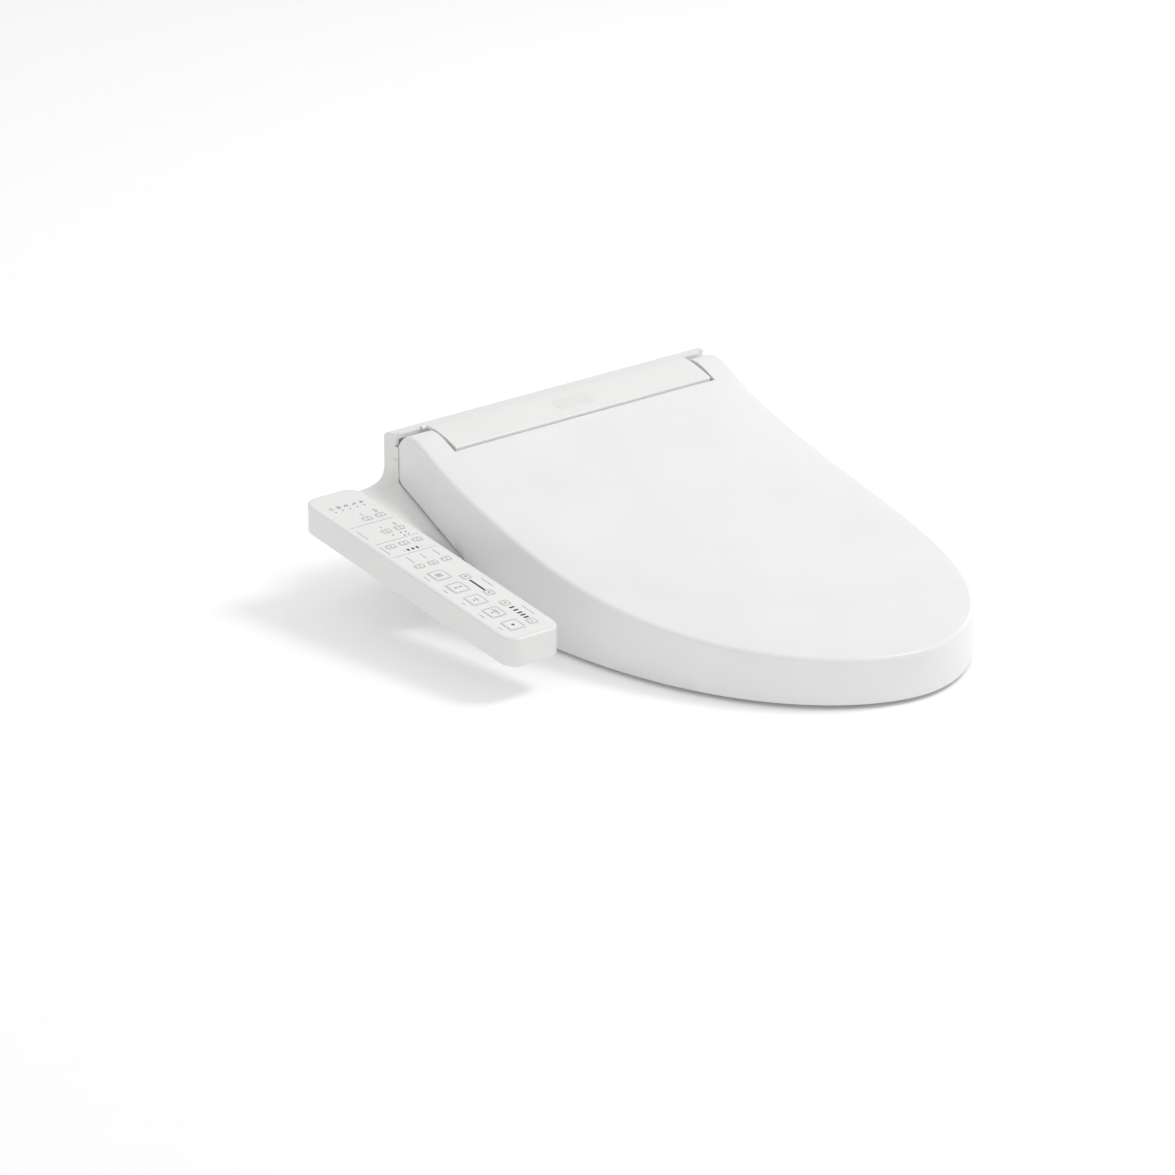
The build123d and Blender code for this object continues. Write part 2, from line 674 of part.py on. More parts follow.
def open_lid_relief(side):
    """Space cut from the strip's front corner so the opened lid can lean back over it."""
    turn = radians(-LID_OPEN)
    line = []
    for y in (HINGE_Y - 14, HINGE_Y - 18, HINGE_Y - 24, HINGE_Y - 32, HINGE_Y - 40):
        dy, dz = y - HINGE_Y, lid_top_z(y) + OPEN_GAP - HINGE_Z
        line.append((HINGE_Y + dy * cos(turn) - dz * sin(turn), HINGE_Z + dy * sin(turn) + dz * cos(turn)))
    line += [(STRIP_Y - 8, line[-1][1]), (STRIP_Y - 8, line[0][1])]
    x0, x1 = CUT_X - 1, CHEEK_OUT + 1
    return side_polygon(line, min(side * x0, side * x1), max(side * x0, side * x1))


def upper_case():
    """Main moulding: rear band, cheeks, end walls, shoulders and the bridge to the arm."""
    case = rear_strip()
    for side in (-1, 1):
        case += cheek(side) + flare(side)
        case -= open_lid_relief(side)
        case -= strip_bevel(side)
        case += shoulder(side)
        case += end_wall(side) - x_rod(SHAFT_R + RUN, -CHEEK_OUT, CHEEK_OUT, HINGE_Y, HINGE_Z)
    case += wing()
    case -= box(-CHEEK_OUT - 1, -CHEEK_IN + 1, *CABLE_PORT, 62, 68)
    pipe_z = CASE_BOTTOM_Z + CASE_WALL + 6
    case -= x_rod(INLET_PIPE_R + GAP, CASE_END_X - 5, CASE_END_X + 1, INLET_Y, pipe_z)
    case -= box(CASE_END_X - 5, CHEEK_OUT + 1, FILTER_Y[0] - GAP, FILTER_Y[1] + GAP, *FILTER_SLOT_Z)
    case -= box(CASE_END_X - 5, CHEEK_OUT + 1, BUTTON_Y[0] - GAP, BUTTON_Y[1] + GAP, *BUTTON_SLOT_Z)
    return case


def lower_case():
    """Bottom tray of the unit, with the two rails that hook under the base plate."""
    top_z = CASE_BOTTOM_Z + CASE_WALL
    front = FRONT_Y + CASE_WALL
    tray = box(-CHEEK_IN, CHEEK_IN, front, BACK_Y - CASE_WALL, CASE_BOTTOM_Z, top_z)
    tray += box(-CHEEK_IN, CHEEK_IN, BACK_Y - CASE_WALL, BACK_Y, SKIRT_Z, CASE_SPLIT_Z)
    rail = box(RAIL_X, RAIL_X + 4, PLATE_FRONT_Y, PLATE_REAR_Y, RAIL_LIP_Z[0], CASE_BOTTOM_Z)
    rail += box(PLATE_HALF_WIDTH - FLANGE + 2, RAIL_X, PLATE_FRONT_Y, PLATE_REAR_Y, *RAIL_LIP_Z)
    rib = box(*RIB_X, PLATE_FRONT_Y, PLATE_REAR_Y, PLATE_Z + GAP, CASE_BOTTOM_Z)
    tray += both_sides(rail + rib)
    tray -= box(50, 130, BUTTON_Y[0] - GAP, BUTTON_Y[1] + GAP, *BUTTON_SLOT_Z)
    tray -= box(-WAND_SLOT, WAND_SLOT, front - 1, front + 8, CASE_BOTTOM_Z - 1, top_z + 1)
    tray -= z_rod(INLET_R - 2.0 + RUN, INLET_X, INLET_Y, SKIRT_Z, top_z + 1)
    tray -= z_rod(DRAIN_R + GAP, DRAIN_X, DRAIN_Y, SKIRT_Z - 1, top_z + 1)
    tray -= Pos(GLAND_X, BACK_Y - 2, GLAND_Z) * Rot(90, 0, 0) * Cylinder(GLAND_R, 10)
    return tray


def cord_gland():
    """Bushing in the back wall where the mains lead would enter."""
    flange = Pos(GLAND_X, BACK_Y - CASE_WALL - 1.0, GLAND_Z) * Rot(90, 0, 0) * Cylinder(GLAND_R + 2, 2.0)
    sleeve = Pos(GLAND_X, BACK_Y - 7.0, GLAND_Z) * Rot(90, 0, 0) * Cylinder(GLAND_R, 14.0)
    bore = Pos(GLAND_X, BACK_Y - 7.0, GLAND_Z) * Rot(90, 0, 0) * Cylinder(GLAND_BORE_R, 16.0)
    return flange + sleeve - bore


def inlet_fitting():
    """Water inlet: a threaded spigot under the case, on a flange inside it."""
    low = CASE_BOTTOM_Z - INLET_LENGTH
    top_z = CASE_BOTTOM_Z + CASE_WALL
    spigot = z_rod(INLET_R, INLET_X, INLET_Y, low, CASE_BOTTOM_Z)
    neck = z_rod(INLET_R - 2.0, INLET_X, INLET_Y, CASE_BOTTOM_Z, top_z)
    elbow = z_rod(INLET_R + 1.5, INLET_X, INLET_Y, top_z, top_z + 10)
    elbow += x_rod(INLET_PIPE_R, VALVE_X[1], INLET_X, INLET_Y, top_z + 6)
    bore = z_rod(6.0, INLET_X, INLET_Y, low - 1, top_z + 4)
    return spigot + neck + elbow - bore


def drain_plug():
    """Filter drain plug that unscrews from below, with a coin slot."""
    plug = z_rod(DRAIN_R, DRAIN_X, DRAIN_Y, SKIRT_Z, CASE_BOTTOM_Z + 16)
    slot = box(DRAIN_X - 6, DRAIN_X + 6, DRAIN_Y - 1, DRAIN_Y + 1, SKIRT_Z - 1, SKIRT_Z + 2)
    return plug - slot


def base_plate():
    """Plate bolted to the bowl: slotted holes in sunk pockets, flanges for the rails."""
    half = PLATE_HALF_WIDTH
    flange = box(-half, half, PLATE_FRONT_Y + 4, PLATE_REAR_Y - 4, FLANGE_Z, PLATE_Z)
    body = box(-half + FLANGE, half - FLANGE, PLATE_FRONT_Y + 4, PLATE_REAR_Y - 4, 0, PLATE_Z)
    plate = flange + body
    plate = fillet(plate.edges().filter_by(Axis.Z).group_by(Axis.X)[0], 3.0)
    plate = fillet(plate.edges().filter_by(Axis.Z).group_by(Axis.X)[-1], 3.0)
    pocket = extrude(RectangleRounded(SLOT_LENGTH + 14, 25, 5), amount=PLATE_Z)
    slot = extrude(SlotOverall(SLOT_LENGTH, 2 * SLOT_R), amount=PLATE_Z)
    for x in (-BOLT_SPACING / 2, BOLT_SPACING / 2):
        plate -= Pos(x, 0, SLOT_FLOOR) * pocket
        plate -= Pos(x, 0, -1) * slot
    return plate - box(*TONGUE_SLOT_X, PLATE_FRONT_Y, PLATE_REAR_Y, PLATE_Z - 2.5, PLATE_Z + 1)


def release_button():
    """Push bar at the user's left: its tongue rides in the base plate's groove."""
    y0, y1 = BUTTON_Y
    bar = box(TONGUE_X[0], CHEEK_IN, y0, y1, *BUTTON_Z)
    cap = box(CHEEK_IN, CHEEK_OUT + 3, y0, y1, *BUTTON_Z)
    tongue = box(*TONGUE_X, y0, y1, PLATE_Z - 2.0, BUTTON_Z[0])
    return bar + cap + tongue


# ---- control arm ---------------------------------------------------------


def arm_block(inset, top_drop, depth):
    """The arm's plan outline between its sloping top plane and a parallel plane below."""
    length, width = ARM_LENGTH - 2 * inset, ARM_WIDTH - 2 * inset
    outline = extrude(RectangleRounded(width, length, ARM_CORNER_R - inset), amount=ARM_TOP_Z * 2)
    slab = ARM_TOP * (Pos(0, 0, -top_drop - depth / 2) * Box(ARM_WIDTH * 2, ARM_LENGTH * 1.5, depth))
    return (Pos(ARM_X, ARM_Y, -20) * outline) & slab


def arm_cover():
    """Shell of the control arm, open below, recessed for the overlay and pierced for the keys."""
    shell = arm_block(0, 0, ARM_DEPTH)
    across = Axis((0, 0, 0), (0, -ARM_SLOPE, 1))
    shell = fillet(shell.faces().sort_by(across)[-1].edges(), 2.5)
    shell = fillet(shell.faces().sort_by(across)[0].edges(), 1.8)
    shell -= arm_block(ARM_WALL, ARM_TOP_WALL, ARM_DEPTH)
    shell -= overlay_blank(2 * OVERLAY)
    shell -= key_holes(ARM_TOP_WALL + 1)
    shell -= box(ARM_INNER_X - 4, ARM_INNER_X + 1, *CABLE_PORT, *CABLE_Z)
    return shell


def arm_lower_case():
    """Plate let into the arm from below, with a low rim and the screw bosses."""
    plate_top = ARM_DEPTH - ARM_PLATE
    inset = ARM_WALL + GAP / 2
    tray = arm_block(inset, plate_top - ARM_PLATE_RIM, ARM_PLATE + ARM_PLATE_RIM)
    tray -= arm_block(inset + 1.6, plate_top - ARM_PLATE_RIM - 1, ARM_PLATE_RIM + 1)
    boss_top = -BOARD_DROP - BOARD_THICK - 0.2
    for u, v in arm_screw_places():
        boss = Pos(u, v, (boss_top + 1 - ARM_DEPTH) / 2) * Cylinder(3.2, boss_top - 1 + ARM_DEPTH)
        tray += ARM_TOP * boss
        tray -= ARM_TOP * (Pos(u, v, -ARM_DEPTH + 5.0) * Cylinder(SCREW_R, 13.0))
        tray -= ARM_TOP * (Pos(u, v, -ARM_DEPTH) * Cylinder(SCREW_HEAD_R + 0.2, 3.0))
    return tray


def arm_screw_places():
    """Centres of the arm's four screws, in the arm's own plane."""
    u = ARM_WIDTH / 2 - 8
    v = ARM_LENGTH / 2 - 17
    return [(su * u, sv * v) for su in (-1, 1) for sv in (-1, 1)]


def arm_screws():
    """Four self-tapping screws from below."""
    group = Part()
    for u, v in arm_screw_places():
        shank = Pos(u, v, -ARM_DEPTH + 6.0) * Cylinder(SCREW_R, 11.0)
        head = Pos(u, v, -ARM_DEPTH + 0.75) * Cylinder(SCREW_HEAD_R, 1.5)
        group += ARM_TOP * (shank + head)
    return group


def overlay_blank(thickness):
    """The overlay's sheet without holes, its underside sunk into the cover."""
    margin = OVERLAY_MARGIN
    outline = RectangleRounded(ARM_WIDTH - 2 * margin, ARM_LENGTH - 2 * margin, ARM_CORNER_R - margin)
    return ARM_TOP * (Pos(0, 0, -OVERLAY) * extrude(outline, amount=thickness))


def panel_overlay():
    """Printed sheet over the arm's top, with windows for the keys and lights."""
    return overlay_blank(OVERLAY) - key_holes(ARM_TOP_WALL + 1)


def arm_point(x_offset, y):
    """A point of the panel: offset from the arm's centre line, and depth y, in the arm's plane."""
    return x_offset, (y - ARM_Y) / cos(radians(ARM_ANGLE))


def key_places():
    """Every key's name, place in the arm's plane and size."""
    places = {}
    names = ["key_dryer", "key_front_wash", "key_soft_wash", "key_rear_wash", "key_stop"]
    for i, name in enumerate(names):
        u, v = arm_point(BIG_KEY_U, BIG_KEY_FIRST_Y - i * BIG_KEY_PITCH)
        places[name] = (u, v, BIG_KEY, BIG_KEY)
    column = ARM_WIDTH / 2 - 19.3
    adjust = {
        "key_position_back": BIG_KEY_FIRST_Y - 0.5 * BIG_KEY_PITCH,
        "key_position_front": BIG_KEY_FIRST_Y - 1.8 * BIG_KEY_PITCH,
        "key_pressure_plus": BIG_KEY_FIRST_Y - 2.65 * BIG_KEY_PITCH,
        "key_pressure_minus": BIG_KEY_FIRST_Y - 4.1 * BIG_KEY_PITCH,
    }
    for name, y in adjust.items():
        places[name] = (*arm_point(column, y), *ADJUST_KEY)
    rows = [(-11.0, (0, 1)), (-39.5, (0, 1)), (-65.0, (-1, 0, 1)), (-107.0, (-1, 0, 1))]
    number = 1
    for y, columns in rows:
        for c in columns:
            places[f"key_setting_{number}"] = (*arm_point(KEY_COLUMN_U + c * SETTING_PITCH, y), *SETTING_KEY)
            number += 1
    return places


def light_places():
    """Five indicator lights in a row near the arm's rear end."""
    return [arm_point(-16.2 + 8.1 * i, 12.0) for i in range(5)]


def key_holes(depth):
    """Through-holes of the cover and overlay for every key and light."""
    holes = Part()
    for u, v, w, h in key_places().values():
        hole = extrude(RectangleRounded(w + 2 * KEY_GAP, h + 2 * KEY_GAP, 2.0), amount=2 * depth)
        holes += Pos(u, v, -depth) * hole
    for u, v in light_places():
        holes += Pos(u, v, 0) * Cylinder(LIGHT_R + 0.05, 2 * depth)
    return ARM_TOP * holes


def key(place):
    """One key: a cap flush with the overlay and a flange that keeps it under the cover."""
    u, v, w, h = place
    cap = extrude(RectangleRounded(w, h, 1.8), amount=ARM_TOP_WALL + 0.4)
    cap = fillet(cap.edges().group_by(Axis.Z)[-1], 0.3)
    flange = extrude(RectangleRounded(w + 2 * KEY_FLANGE + 0.7, h + 2 * KEY_FLANGE + 0.7, 2.2), amount=1.0)
    return ARM_TOP * (Pos(u, v, -ARM_TOP_WALL - 0.1) * (cap + Pos(0, 0, -1.0) * flange))


def indicator_lenses():
    """Five small light pipes."""
    group = Part()
    for u, v in light_places():
        group += ARM_TOP * (Pos(u, v, -ARM_TOP_WALL / 2 - 0.5) * Cylinder(LIGHT_R, ARM_TOP_WALL + 1.0))
    return group


def control_board():
    """Circuit board under the keys, with a switch under each."""
    length, width = ARM_LENGTH - 2 * ARM_WALL - 2, ARM_WIDTH - 2 * ARM_WALL - 2
    board = extrude(RectangleRounded(width, length, ARM_CORNER_R - 4), amount=BOARD_THICK)
    board = Pos(0, 0, -BOARD_DROP - BOARD_THICK) * board
    for u, v, w, h in key_places().values():
        board += Pos(u, v, -BOARD_DROP + 0.6) * Cylinder(2.5, 1.2)
    for u, v in arm_screw_places():
        board -= Pos(u, v, -BOARD_DROP) * Cylinder(SCREW_R + 0.5, 10)
    return ARM_TOP * board


# ---- wand and its drive --------------------------------------------------


def rack_teeth():
    """Straight rack on top of the wand, drawn in the wand's plane."""
    pitch = pi * GEAR_MODULE
    first = -WAND_LENGTH + 2.0
    last = -TIP_LENGTH - 2.5
    root = RACK_PITCH_OFFSET - 1.25 * GEAR_MODULE
    slope = tan(radians(PRESSURE_ANGLE))
    half = pitch / 4 - BACKLASH / 2
    rack = box(-RACK_WIDTH / 2, RACK_WIDTH / 2, WAND_R - 3, root, first - 2, last + 2)
    count = int((last - first) / pitch)
    start = PINION_AT - pitch * int((PINION_AT - first) / pitch)
    for i in range(count + 1):
        w = start + i * pitch
        wide, narrow = half + 1.25 * GEAR_MODULE * slope, half - 0.95 * GEAR_MODULE * slope
        points = [
            (root - 0.01, w - wide),
            (root - 0.01, w + wide),
            (RACK_PITCH_OFFSET + 0.95 * GEAR_MODULE, w + narrow),
            (RACK_PITCH_OFFSET + 0.95 * GEAR_MODULE, w - narrow),
        ]
        rack += side_polygon(points, -RACK_WIDTH / 2, RACK_WIDTH / 2)
    return rack


def wand():
    """The telescoping tube with its rack."""
    tube = Pos(0, 0, (-WAND_LENGTH - TIP_LENGTH) / 2) * Cylinder(WAND_R, WAND_LENGTH - TIP_LENGTH)
    bore = Pos(0, 0, (-WAND_LENGTH - TIP_LENGTH) / 2 - 1) * Cylinder(2.5, WAND_LENGTH - TIP_LENGTH)
    return WAND * (tube + rack_teeth() - bore)


def wand_tip():
    """Push-on nozzle with three spray holes above and a door on its end that closes the mouth."""
    tip = Pos(0, 0, -TIP_LENGTH / 2) * Cylinder(WAND_R, TIP_LENGTH)
    tip = fillet(tip.edges().group_by(Axis.Z)[-1], 2.0)
    for w in (-5.0, -8.0, -11.0):
        tip -= Pos(0, WAND_R, w) * Rot(90, 0, 0) * Cylinder(0.7, 6)
    door_y = FRONT_Y - 0.3
    door = box(-WAND_SLOT - 1, WAND_SLOT + 1, door_y - 2.0, door_y, SKIRT_Z - 1, WAND_MOUTH_Z + 7)
    stub = WAND * (Pos(0, -1.0, 7.0) * Box(5, 5, 18.0))
    return WAND * tip + door + (stub - box(-9, 9, -100, door_y - 1.0, -50, 99))


def wand_guide():
    """Cradle fixed to the tray that the wand slides in, open along its top."""
    length = WAND_LENGTH - 6
    middle = -4 - length / 2
    cradle = Pos(0, -2.0, middle) * Box(2 * GUIDE_R + 6, 2 * GUIDE_R + 2, length)
    cradle -= Pos(0, 0, middle) * Cylinder(GUIDE_R, length + 2)
    cradle -= Pos(0, GUIDE_R, middle) * Box(2 * GUIDE_R + 8, 2 * GUIDE_R - 4, length + 2)
    floor = CASE_BOTTOM_Z + CASE_WALL
    cradle = WAND * cradle
    for y in (WAND_MOUTH_Y + 18, WAND_MOUTH_Y + 56):
        under = WAND_MOUTH_Z + (y - WAND_MOUTH_Y) * tan(radians(WAND_TILT))
        under -= (GUIDE_R + 1.5) / cos(radians(WAND_TILT))
        cradle += box(-GUIDE_R - 2, GUIDE_R + 2, y - 2, y + 2, floor, under)
    return cradle


def pinion_profile():
    """A spur gear outline with involute flanks, thinned for backlash."""
    base = PINION_R * cos(radians(PRESSURE_ANGLE))
    outer = PINION_R + 0.95 * GEAR_MODULE
    root = PINION_R - 1.25 * GEAR_MODULE
    inv = tan(radians(PRESSURE_ANGLE)) - radians(PRESSURE_ANGLE)
    half = pi / (2 * PINION_TEETH) - BACKLASH / (2 * PINION_R)
    points = []
    for tooth in range(PINION_TEETH):
        middle = 2 * pi * tooth / PINION_TEETH
        flank = []
        for i in range(6):
            r = base + (outer - base) * i / 5
            a = (max(r * r / base / base - 1, 0)) ** 0.5
            flank.append((r, half + inv - (a - atan(a))))
        left = [(r, -spread) for r, spread in flank]
        right = [(r, spread) for r, spread in reversed(flank)]
        ring = [(root, -half - inv - 0.02)] + left + right + [(root, half + inv + 0.02)]
        points += [(r * cos(middle + a), r * sin(middle + a)) for r, a in ring]
    return make_face(Polyline(*points, close=True))


def wand_pinion():
    """Drive pinion on the motor's shaft, in mesh with the rack at rest."""
    gear = extrude(pinion_profile(), amount=RACK_WIDTH / 2, both=True)
    turn = 180 / PINION_TEETH
    gear = Rot(0, 0, turn) * gear
    gear = Plane(origin=(0, PINION_V, PINION_AT), x_dir=(0, -1, 0), z_dir=(1, 0, 0)) * gear
    shaft = Pos(5, PINION_V, PINION_AT) * Rot(0, 90, 0) * Cylinder(1.5, 20)
    return WAND * (gear + shaft)


def wand_motor():
    """Stepper motor beside the wand, on a bracket from the guide."""
    can = Pos(14.0, PINION_V, PINION_AT) * Rot(0, 90, 0) * Cylinder(9.0, 16)
    tail = Pos(13.0, PINION_V, PINION_AT) * Rot(0, 90, 0) * Cylinder(1.5 + RUN, 18)
    foot = Pos(19.0, PINION_V - 16, PINION_AT) * Box(5, 22, 12)
    return WAND * (can + foot - tail)


# ---- dryer ---------------------------------------------------------------


def blower_housing():
    """Round fan housing with its air inlet on one side and its outlet running down to the duct."""
    x0, x1 = FAN_X
    drum = x_rod(FAN_R + 4, x0, x1, FAN_Y, FAN_Z)
    drum += box(x0, x1, FAN_Y - 46, FAN_Y, FAN_Z - FAN_R - 4, FAN_Z - 6)
    drum -= x_rod(FAN_R + 1.5, x0 + 2.5, x1 - 2.5, FAN_Y, FAN_Z)
    drum -= box(x0 + 2.5, x1 - 2.5, FAN_Y - 47, FAN_Y, FAN_Z - FAN_R - 1.5, FAN_Z - 8.5)
    drum -= x_rod(11, x0 - 1, x0 + 3, FAN_Y, FAN_Z)
    return drum - x_rod(1.5 + RUN, x1 - 3, x1 + 1, FAN_Y, FAN_Z)


def blower_fan():
    """Squirrel-cage impeller on the fan motor's shaft."""
    x0, x1 = FAN_X[0] + 4, FAN_X[1] - 4
    fan = x_rod(FAN_R, x1 - 1.5, x1, FAN_Y, FAN_Z)
    fan += x_rod(4.0, x0, x1, FAN_Y, FAN_Z)
    blades = 16
    for i in range(blades):
        blade = box(x0, x1, FAN_R - 5, FAN_R - 0.5, -0.5, 0.5)
        fan += Pos(0, FAN_Y, FAN_Z) * Rot(360 * i / blades, 0, 0) * blade
    return fan + x_rod(1.5, x0, FAN_X[1] + 14, FAN_Y, FAN_Z)


def blower_motor():
    """Fan motor bolted to the side of the housing."""
    x1 = FAN_X[1]
    can = x_rod(13.0, x1, x1 + 18, FAN_Y, FAN_Z)
    return can - x_rod(1.5 + RUN, x1 - 1, x1 + 15, FAN_Y, FAN_Z)


def dryer_duct():
    """Square duct from the blower to the outlet in the front wall."""
    x0, x1, z0, z1 = DUCT_X0 - 2, DUCT_X1 + 2, DUCT_Z0 - 2, DUCT_Z1 + 2
    y0, y1 = FRONT_Y + CASE_WALL, FAN_Y - 46
    duct = box(x0, x1, y0, y1, z0, FAN_Z - 4)
    duct -= box(DUCT_X0, DUCT_X1, y0 - 1, y1 - 2, DUCT_Z0, DUCT_Z1)
    duct -= box(FAN_X[0] + 2.5, FAN_X[1] - 2.5, y1 - 8, y1 + 1, DUCT_Z0 + 10, FAN_Z - 8.5)
    return duct


def dryer_heater():
    """Nichrome strips on a mica frame across the duct."""
    y = FRONT_Y + CASE_WALL + 2.0
    frame = box(DUCT_X0, DUCT_X1, y, y + 3, DUCT_Z0, DUCT_Z1)
    frame -= box(DUCT_X0 + 2, DUCT_X1 - 2, y - 1, y + 4, DUCT_Z0 + 2, DUCT_Z1 - 2)
    for i in range(5):
        z = DUCT_Z0 + 4 + i * (DUCT_Z1 - DUCT_Z0 - 8) / 4
        frame += box(DUCT_X0 + 1, DUCT_X1 - 1, y + 1, y + 2, z - 0.4, z + 0.4)
    return frame


def flap_ears():
    """Two ears on the front wall that hold the flap's stub pins."""
    ears = Part()
    for x in (DUCT_X0 - 1, DUCT_X1 - 1.5):
        ears += x_rod(2.4, x, x + 2.5, FLAP_Y, FLAP_Z)
        ears += box(x, x + 2.5, FLAP_Y, FRONT_Y, FLAP_Z - 2.0, FLAP_Z + 2.4)
    return ears - x_rod(FLAP_PIN_R + RUN, DUCT_X0 - 2, DUCT_X1 + 2, FLAP_Y, FLAP_Z)


def dryer_flap():
    """Flap on two stub pins that hangs over the outlet and is blown open."""
    flap = box(DUCT_X0 - 2, DUCT_X1 + 2, FRONT_Y - 2.3, FRONT_Y - 0.7, DUCT_Z0 - 2, FLAP_Z - 2.8)
    barrel = x_rod(2.0, DUCT_X0 + 4, DUCT_X1 - 4, FLAP_Y, FLAP_Z)
    web = box(DUCT_X0 + 4, DUCT_X1 - 4, FRONT_Y - 2.3, FRONT_Y - 0.9, FLAP_Z - 3, FLAP_Z)
    return flap + barrel + web + x_rod(FLAP_PIN_R, DUCT_X0 - 1, DUCT_X1 + 1, FLAP_Y, FLAP_Z)


# ---- water side and electrics -------------------------------------------


def water_tank():
    """Reservoir that keeps warm water, closed all round, with a port for the heater."""
    wall = 2.5
    tank = box(*TANK_X, *TANK_Y, *TANK_Z)
    tank = fillet(tank.edges().filter_by(Axis.Z), 8.0)
    hollow = box(*[v + s * wall for pair in (TANK_X, TANK_Y, TANK_Z) for v, s in zip(pair, (1, -1))])
    middle = sum(TANK_X) / 2
    return tank - hollow - z_rod(9.0, middle, sum(TANK_Y) / 2, TANK_Z[1] - 5, TANK_Z[1] + 1)


def tank_heater():
    """Flanged sheath heater hanging in the tank."""
    x, y, top = sum(TANK_X) / 2, sum(TANK_Y) / 2, TANK_Z[1]
    heater = z_rod(13.0, x, y, top, top + 3)
    heater += z_rod(8.9, x, y, top - 3, top)
    return heater + z_rod(4.0, x, y, TANK_Z[0] + 8, top - 3)


def solenoid_valve():
    """Inlet valve with its coil, between the inlet and the tank."""
    body = box(*VALVE_X, *VALVE_Y, *VALVE_Z)
    return body + z_rod(9.0, sum(VALVE_X) / 2, sum(VALVE_Y) / 2, VALVE_Z[1], VALVE_Z[1] + 24)


def power_board():
    """Power circuit board with its tall parts."""
    top_z = POWER_BOARD_Z + BOARD_THICK
    board = box(*POWER_BOARD_X, *POWER_BOARD_Y, POWER_BOARD_Z, top_z)
    x0, y0 = POWER_BOARD_X[0] + 4, POWER_BOARD_Y[0] + 2
    board += box(x0, x0 + 16, y0, y0 + 16, top_z, top_z + 19)
    return board + z_rod(5.0, POWER_BOARD_X[1] - 10, y0 + 8, top_z, top_z + 23)


def deodorizer_filter():
    """Pull-out carbon cartridge with a finger lip outside the cheek."""
    body = box(FILTER_X0, CHEEK_OUT, *FILTER_Y, *FILTER_Z)
    for i in range(6):
        x = FILTER_X0 + 6 + i * 5
        body -= box(x, x + 2.5, FILTER_Y[0] + 3, FILTER_Y[1] - 3, FILTER_Z[0] - 1, FILTER_Z[1] + 1)
    lip_y = (FILTER_Y[0] - 2, FILTER_Y[1] + 2)
    return body + box(CHEEK_OUT, CHEEK_OUT + 2, *lip_y, FILTER_Z[0] - 1, FILTER_Z[1] + 2)


NODES = {
    "base_plate": base_plate,
    "release_button": release_button,
    "lower_case": lower_case,
    "upper_case": upper_case,
    "top_cover": top_cover,
    "front_panel": front_panel,
    "label_plate": label_plate,
    "arm_cover": arm_cover,
    "arm_lower_case": arm_lower_case,
    "arm_screws": arm_screws,
    "panel_overlay": panel_overlay,
    "indicator_lenses": indicator_lenses,
    "control_board": control_board,
    "wand": wand,
    "wand_tip": wand_tip,
    "wand_guide": wand_guide,
    "wand_pinion": wand_pinion,
    "wand_motor": wand_motor,
    "blower_housing": blower_housing,
    "blower_fan": blower_fan,
    "blower_motor": blower_motor,
    "dryer_duct": dryer_duct,
    "dryer_heater": dryer_heater,
    "dryer_flap": dryer_flap,
    "water_tank": water_tank,
    "tank_heater": tank_heater,
    "solenoid_valve": solenoid_valve,
    "inlet_fitting": inlet_fitting,
    "drain_plug": drain_plug,
    "power_board": power_board,
    "deodorizer_filter": deodorizer_filter,
    "cord_gland": cord_gland,
    "hinge_dampers": hinge_dampers,
    "seat_hinge_shaft": lambda: hinge_shaft(-1),
    "lid_hinge_shaft": lambda: hinge_shaft(1),
    "seat_top": seat_top,
    "seat_bottom": seat_bottom,
    "seat_heater": seat_heater,
    "seat_bumpers": seat_bumpers,
    "lid": lid_shell,
    "lid_bumpers": lid_bumpers,
}


if __name__ == "__main__":
    os.makedirs("parts", exist_ok=True)
    for name, make in NODES.items():
        export_step(make(), f"parts/{name}.step")
        print(name)
    for name, place in key_places().items():
        export_step(key(place), f"parts/{name}.step")
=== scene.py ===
import math

import bmesh
import bpy
from mathutils import Matrix, Vector


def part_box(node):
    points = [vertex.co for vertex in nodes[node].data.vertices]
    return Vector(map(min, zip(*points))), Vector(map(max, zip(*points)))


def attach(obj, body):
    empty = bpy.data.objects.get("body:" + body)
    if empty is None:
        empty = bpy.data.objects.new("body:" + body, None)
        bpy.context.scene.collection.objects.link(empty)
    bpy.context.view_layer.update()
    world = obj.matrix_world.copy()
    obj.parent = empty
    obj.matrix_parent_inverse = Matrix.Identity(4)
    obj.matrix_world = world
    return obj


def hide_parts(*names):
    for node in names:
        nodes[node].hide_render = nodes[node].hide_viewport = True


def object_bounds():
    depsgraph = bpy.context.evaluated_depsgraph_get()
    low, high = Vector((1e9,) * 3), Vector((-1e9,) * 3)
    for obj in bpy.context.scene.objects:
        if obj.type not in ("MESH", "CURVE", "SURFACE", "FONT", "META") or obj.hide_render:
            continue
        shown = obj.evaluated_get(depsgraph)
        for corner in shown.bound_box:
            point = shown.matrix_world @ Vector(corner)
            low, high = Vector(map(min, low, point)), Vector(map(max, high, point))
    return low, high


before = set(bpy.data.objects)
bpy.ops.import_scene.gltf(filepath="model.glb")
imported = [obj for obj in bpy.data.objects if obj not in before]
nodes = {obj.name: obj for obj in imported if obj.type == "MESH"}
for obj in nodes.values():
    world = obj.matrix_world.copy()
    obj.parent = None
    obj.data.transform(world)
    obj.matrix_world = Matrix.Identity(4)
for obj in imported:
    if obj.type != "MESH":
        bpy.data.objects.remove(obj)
frame_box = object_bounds()

# ---- base plate ----------------------------------------------------------
# A glass-filled nylon plate that stays bolted to the bowl. It is moulded with
# a fine grain, so it stays dull and slightly grey beside the glossy case.


def linear(hex_colour):
    """An sRGB hex colour as linear RGBA."""
    parts = [int(hex_colour[i : i + 2], 16) / 255 for i in (1, 3, 5)]
    return [c / 12.92 if c <= 0.04045 else ((c + 0.055) / 1.055) ** 2.4 for c in parts] + [1.0]


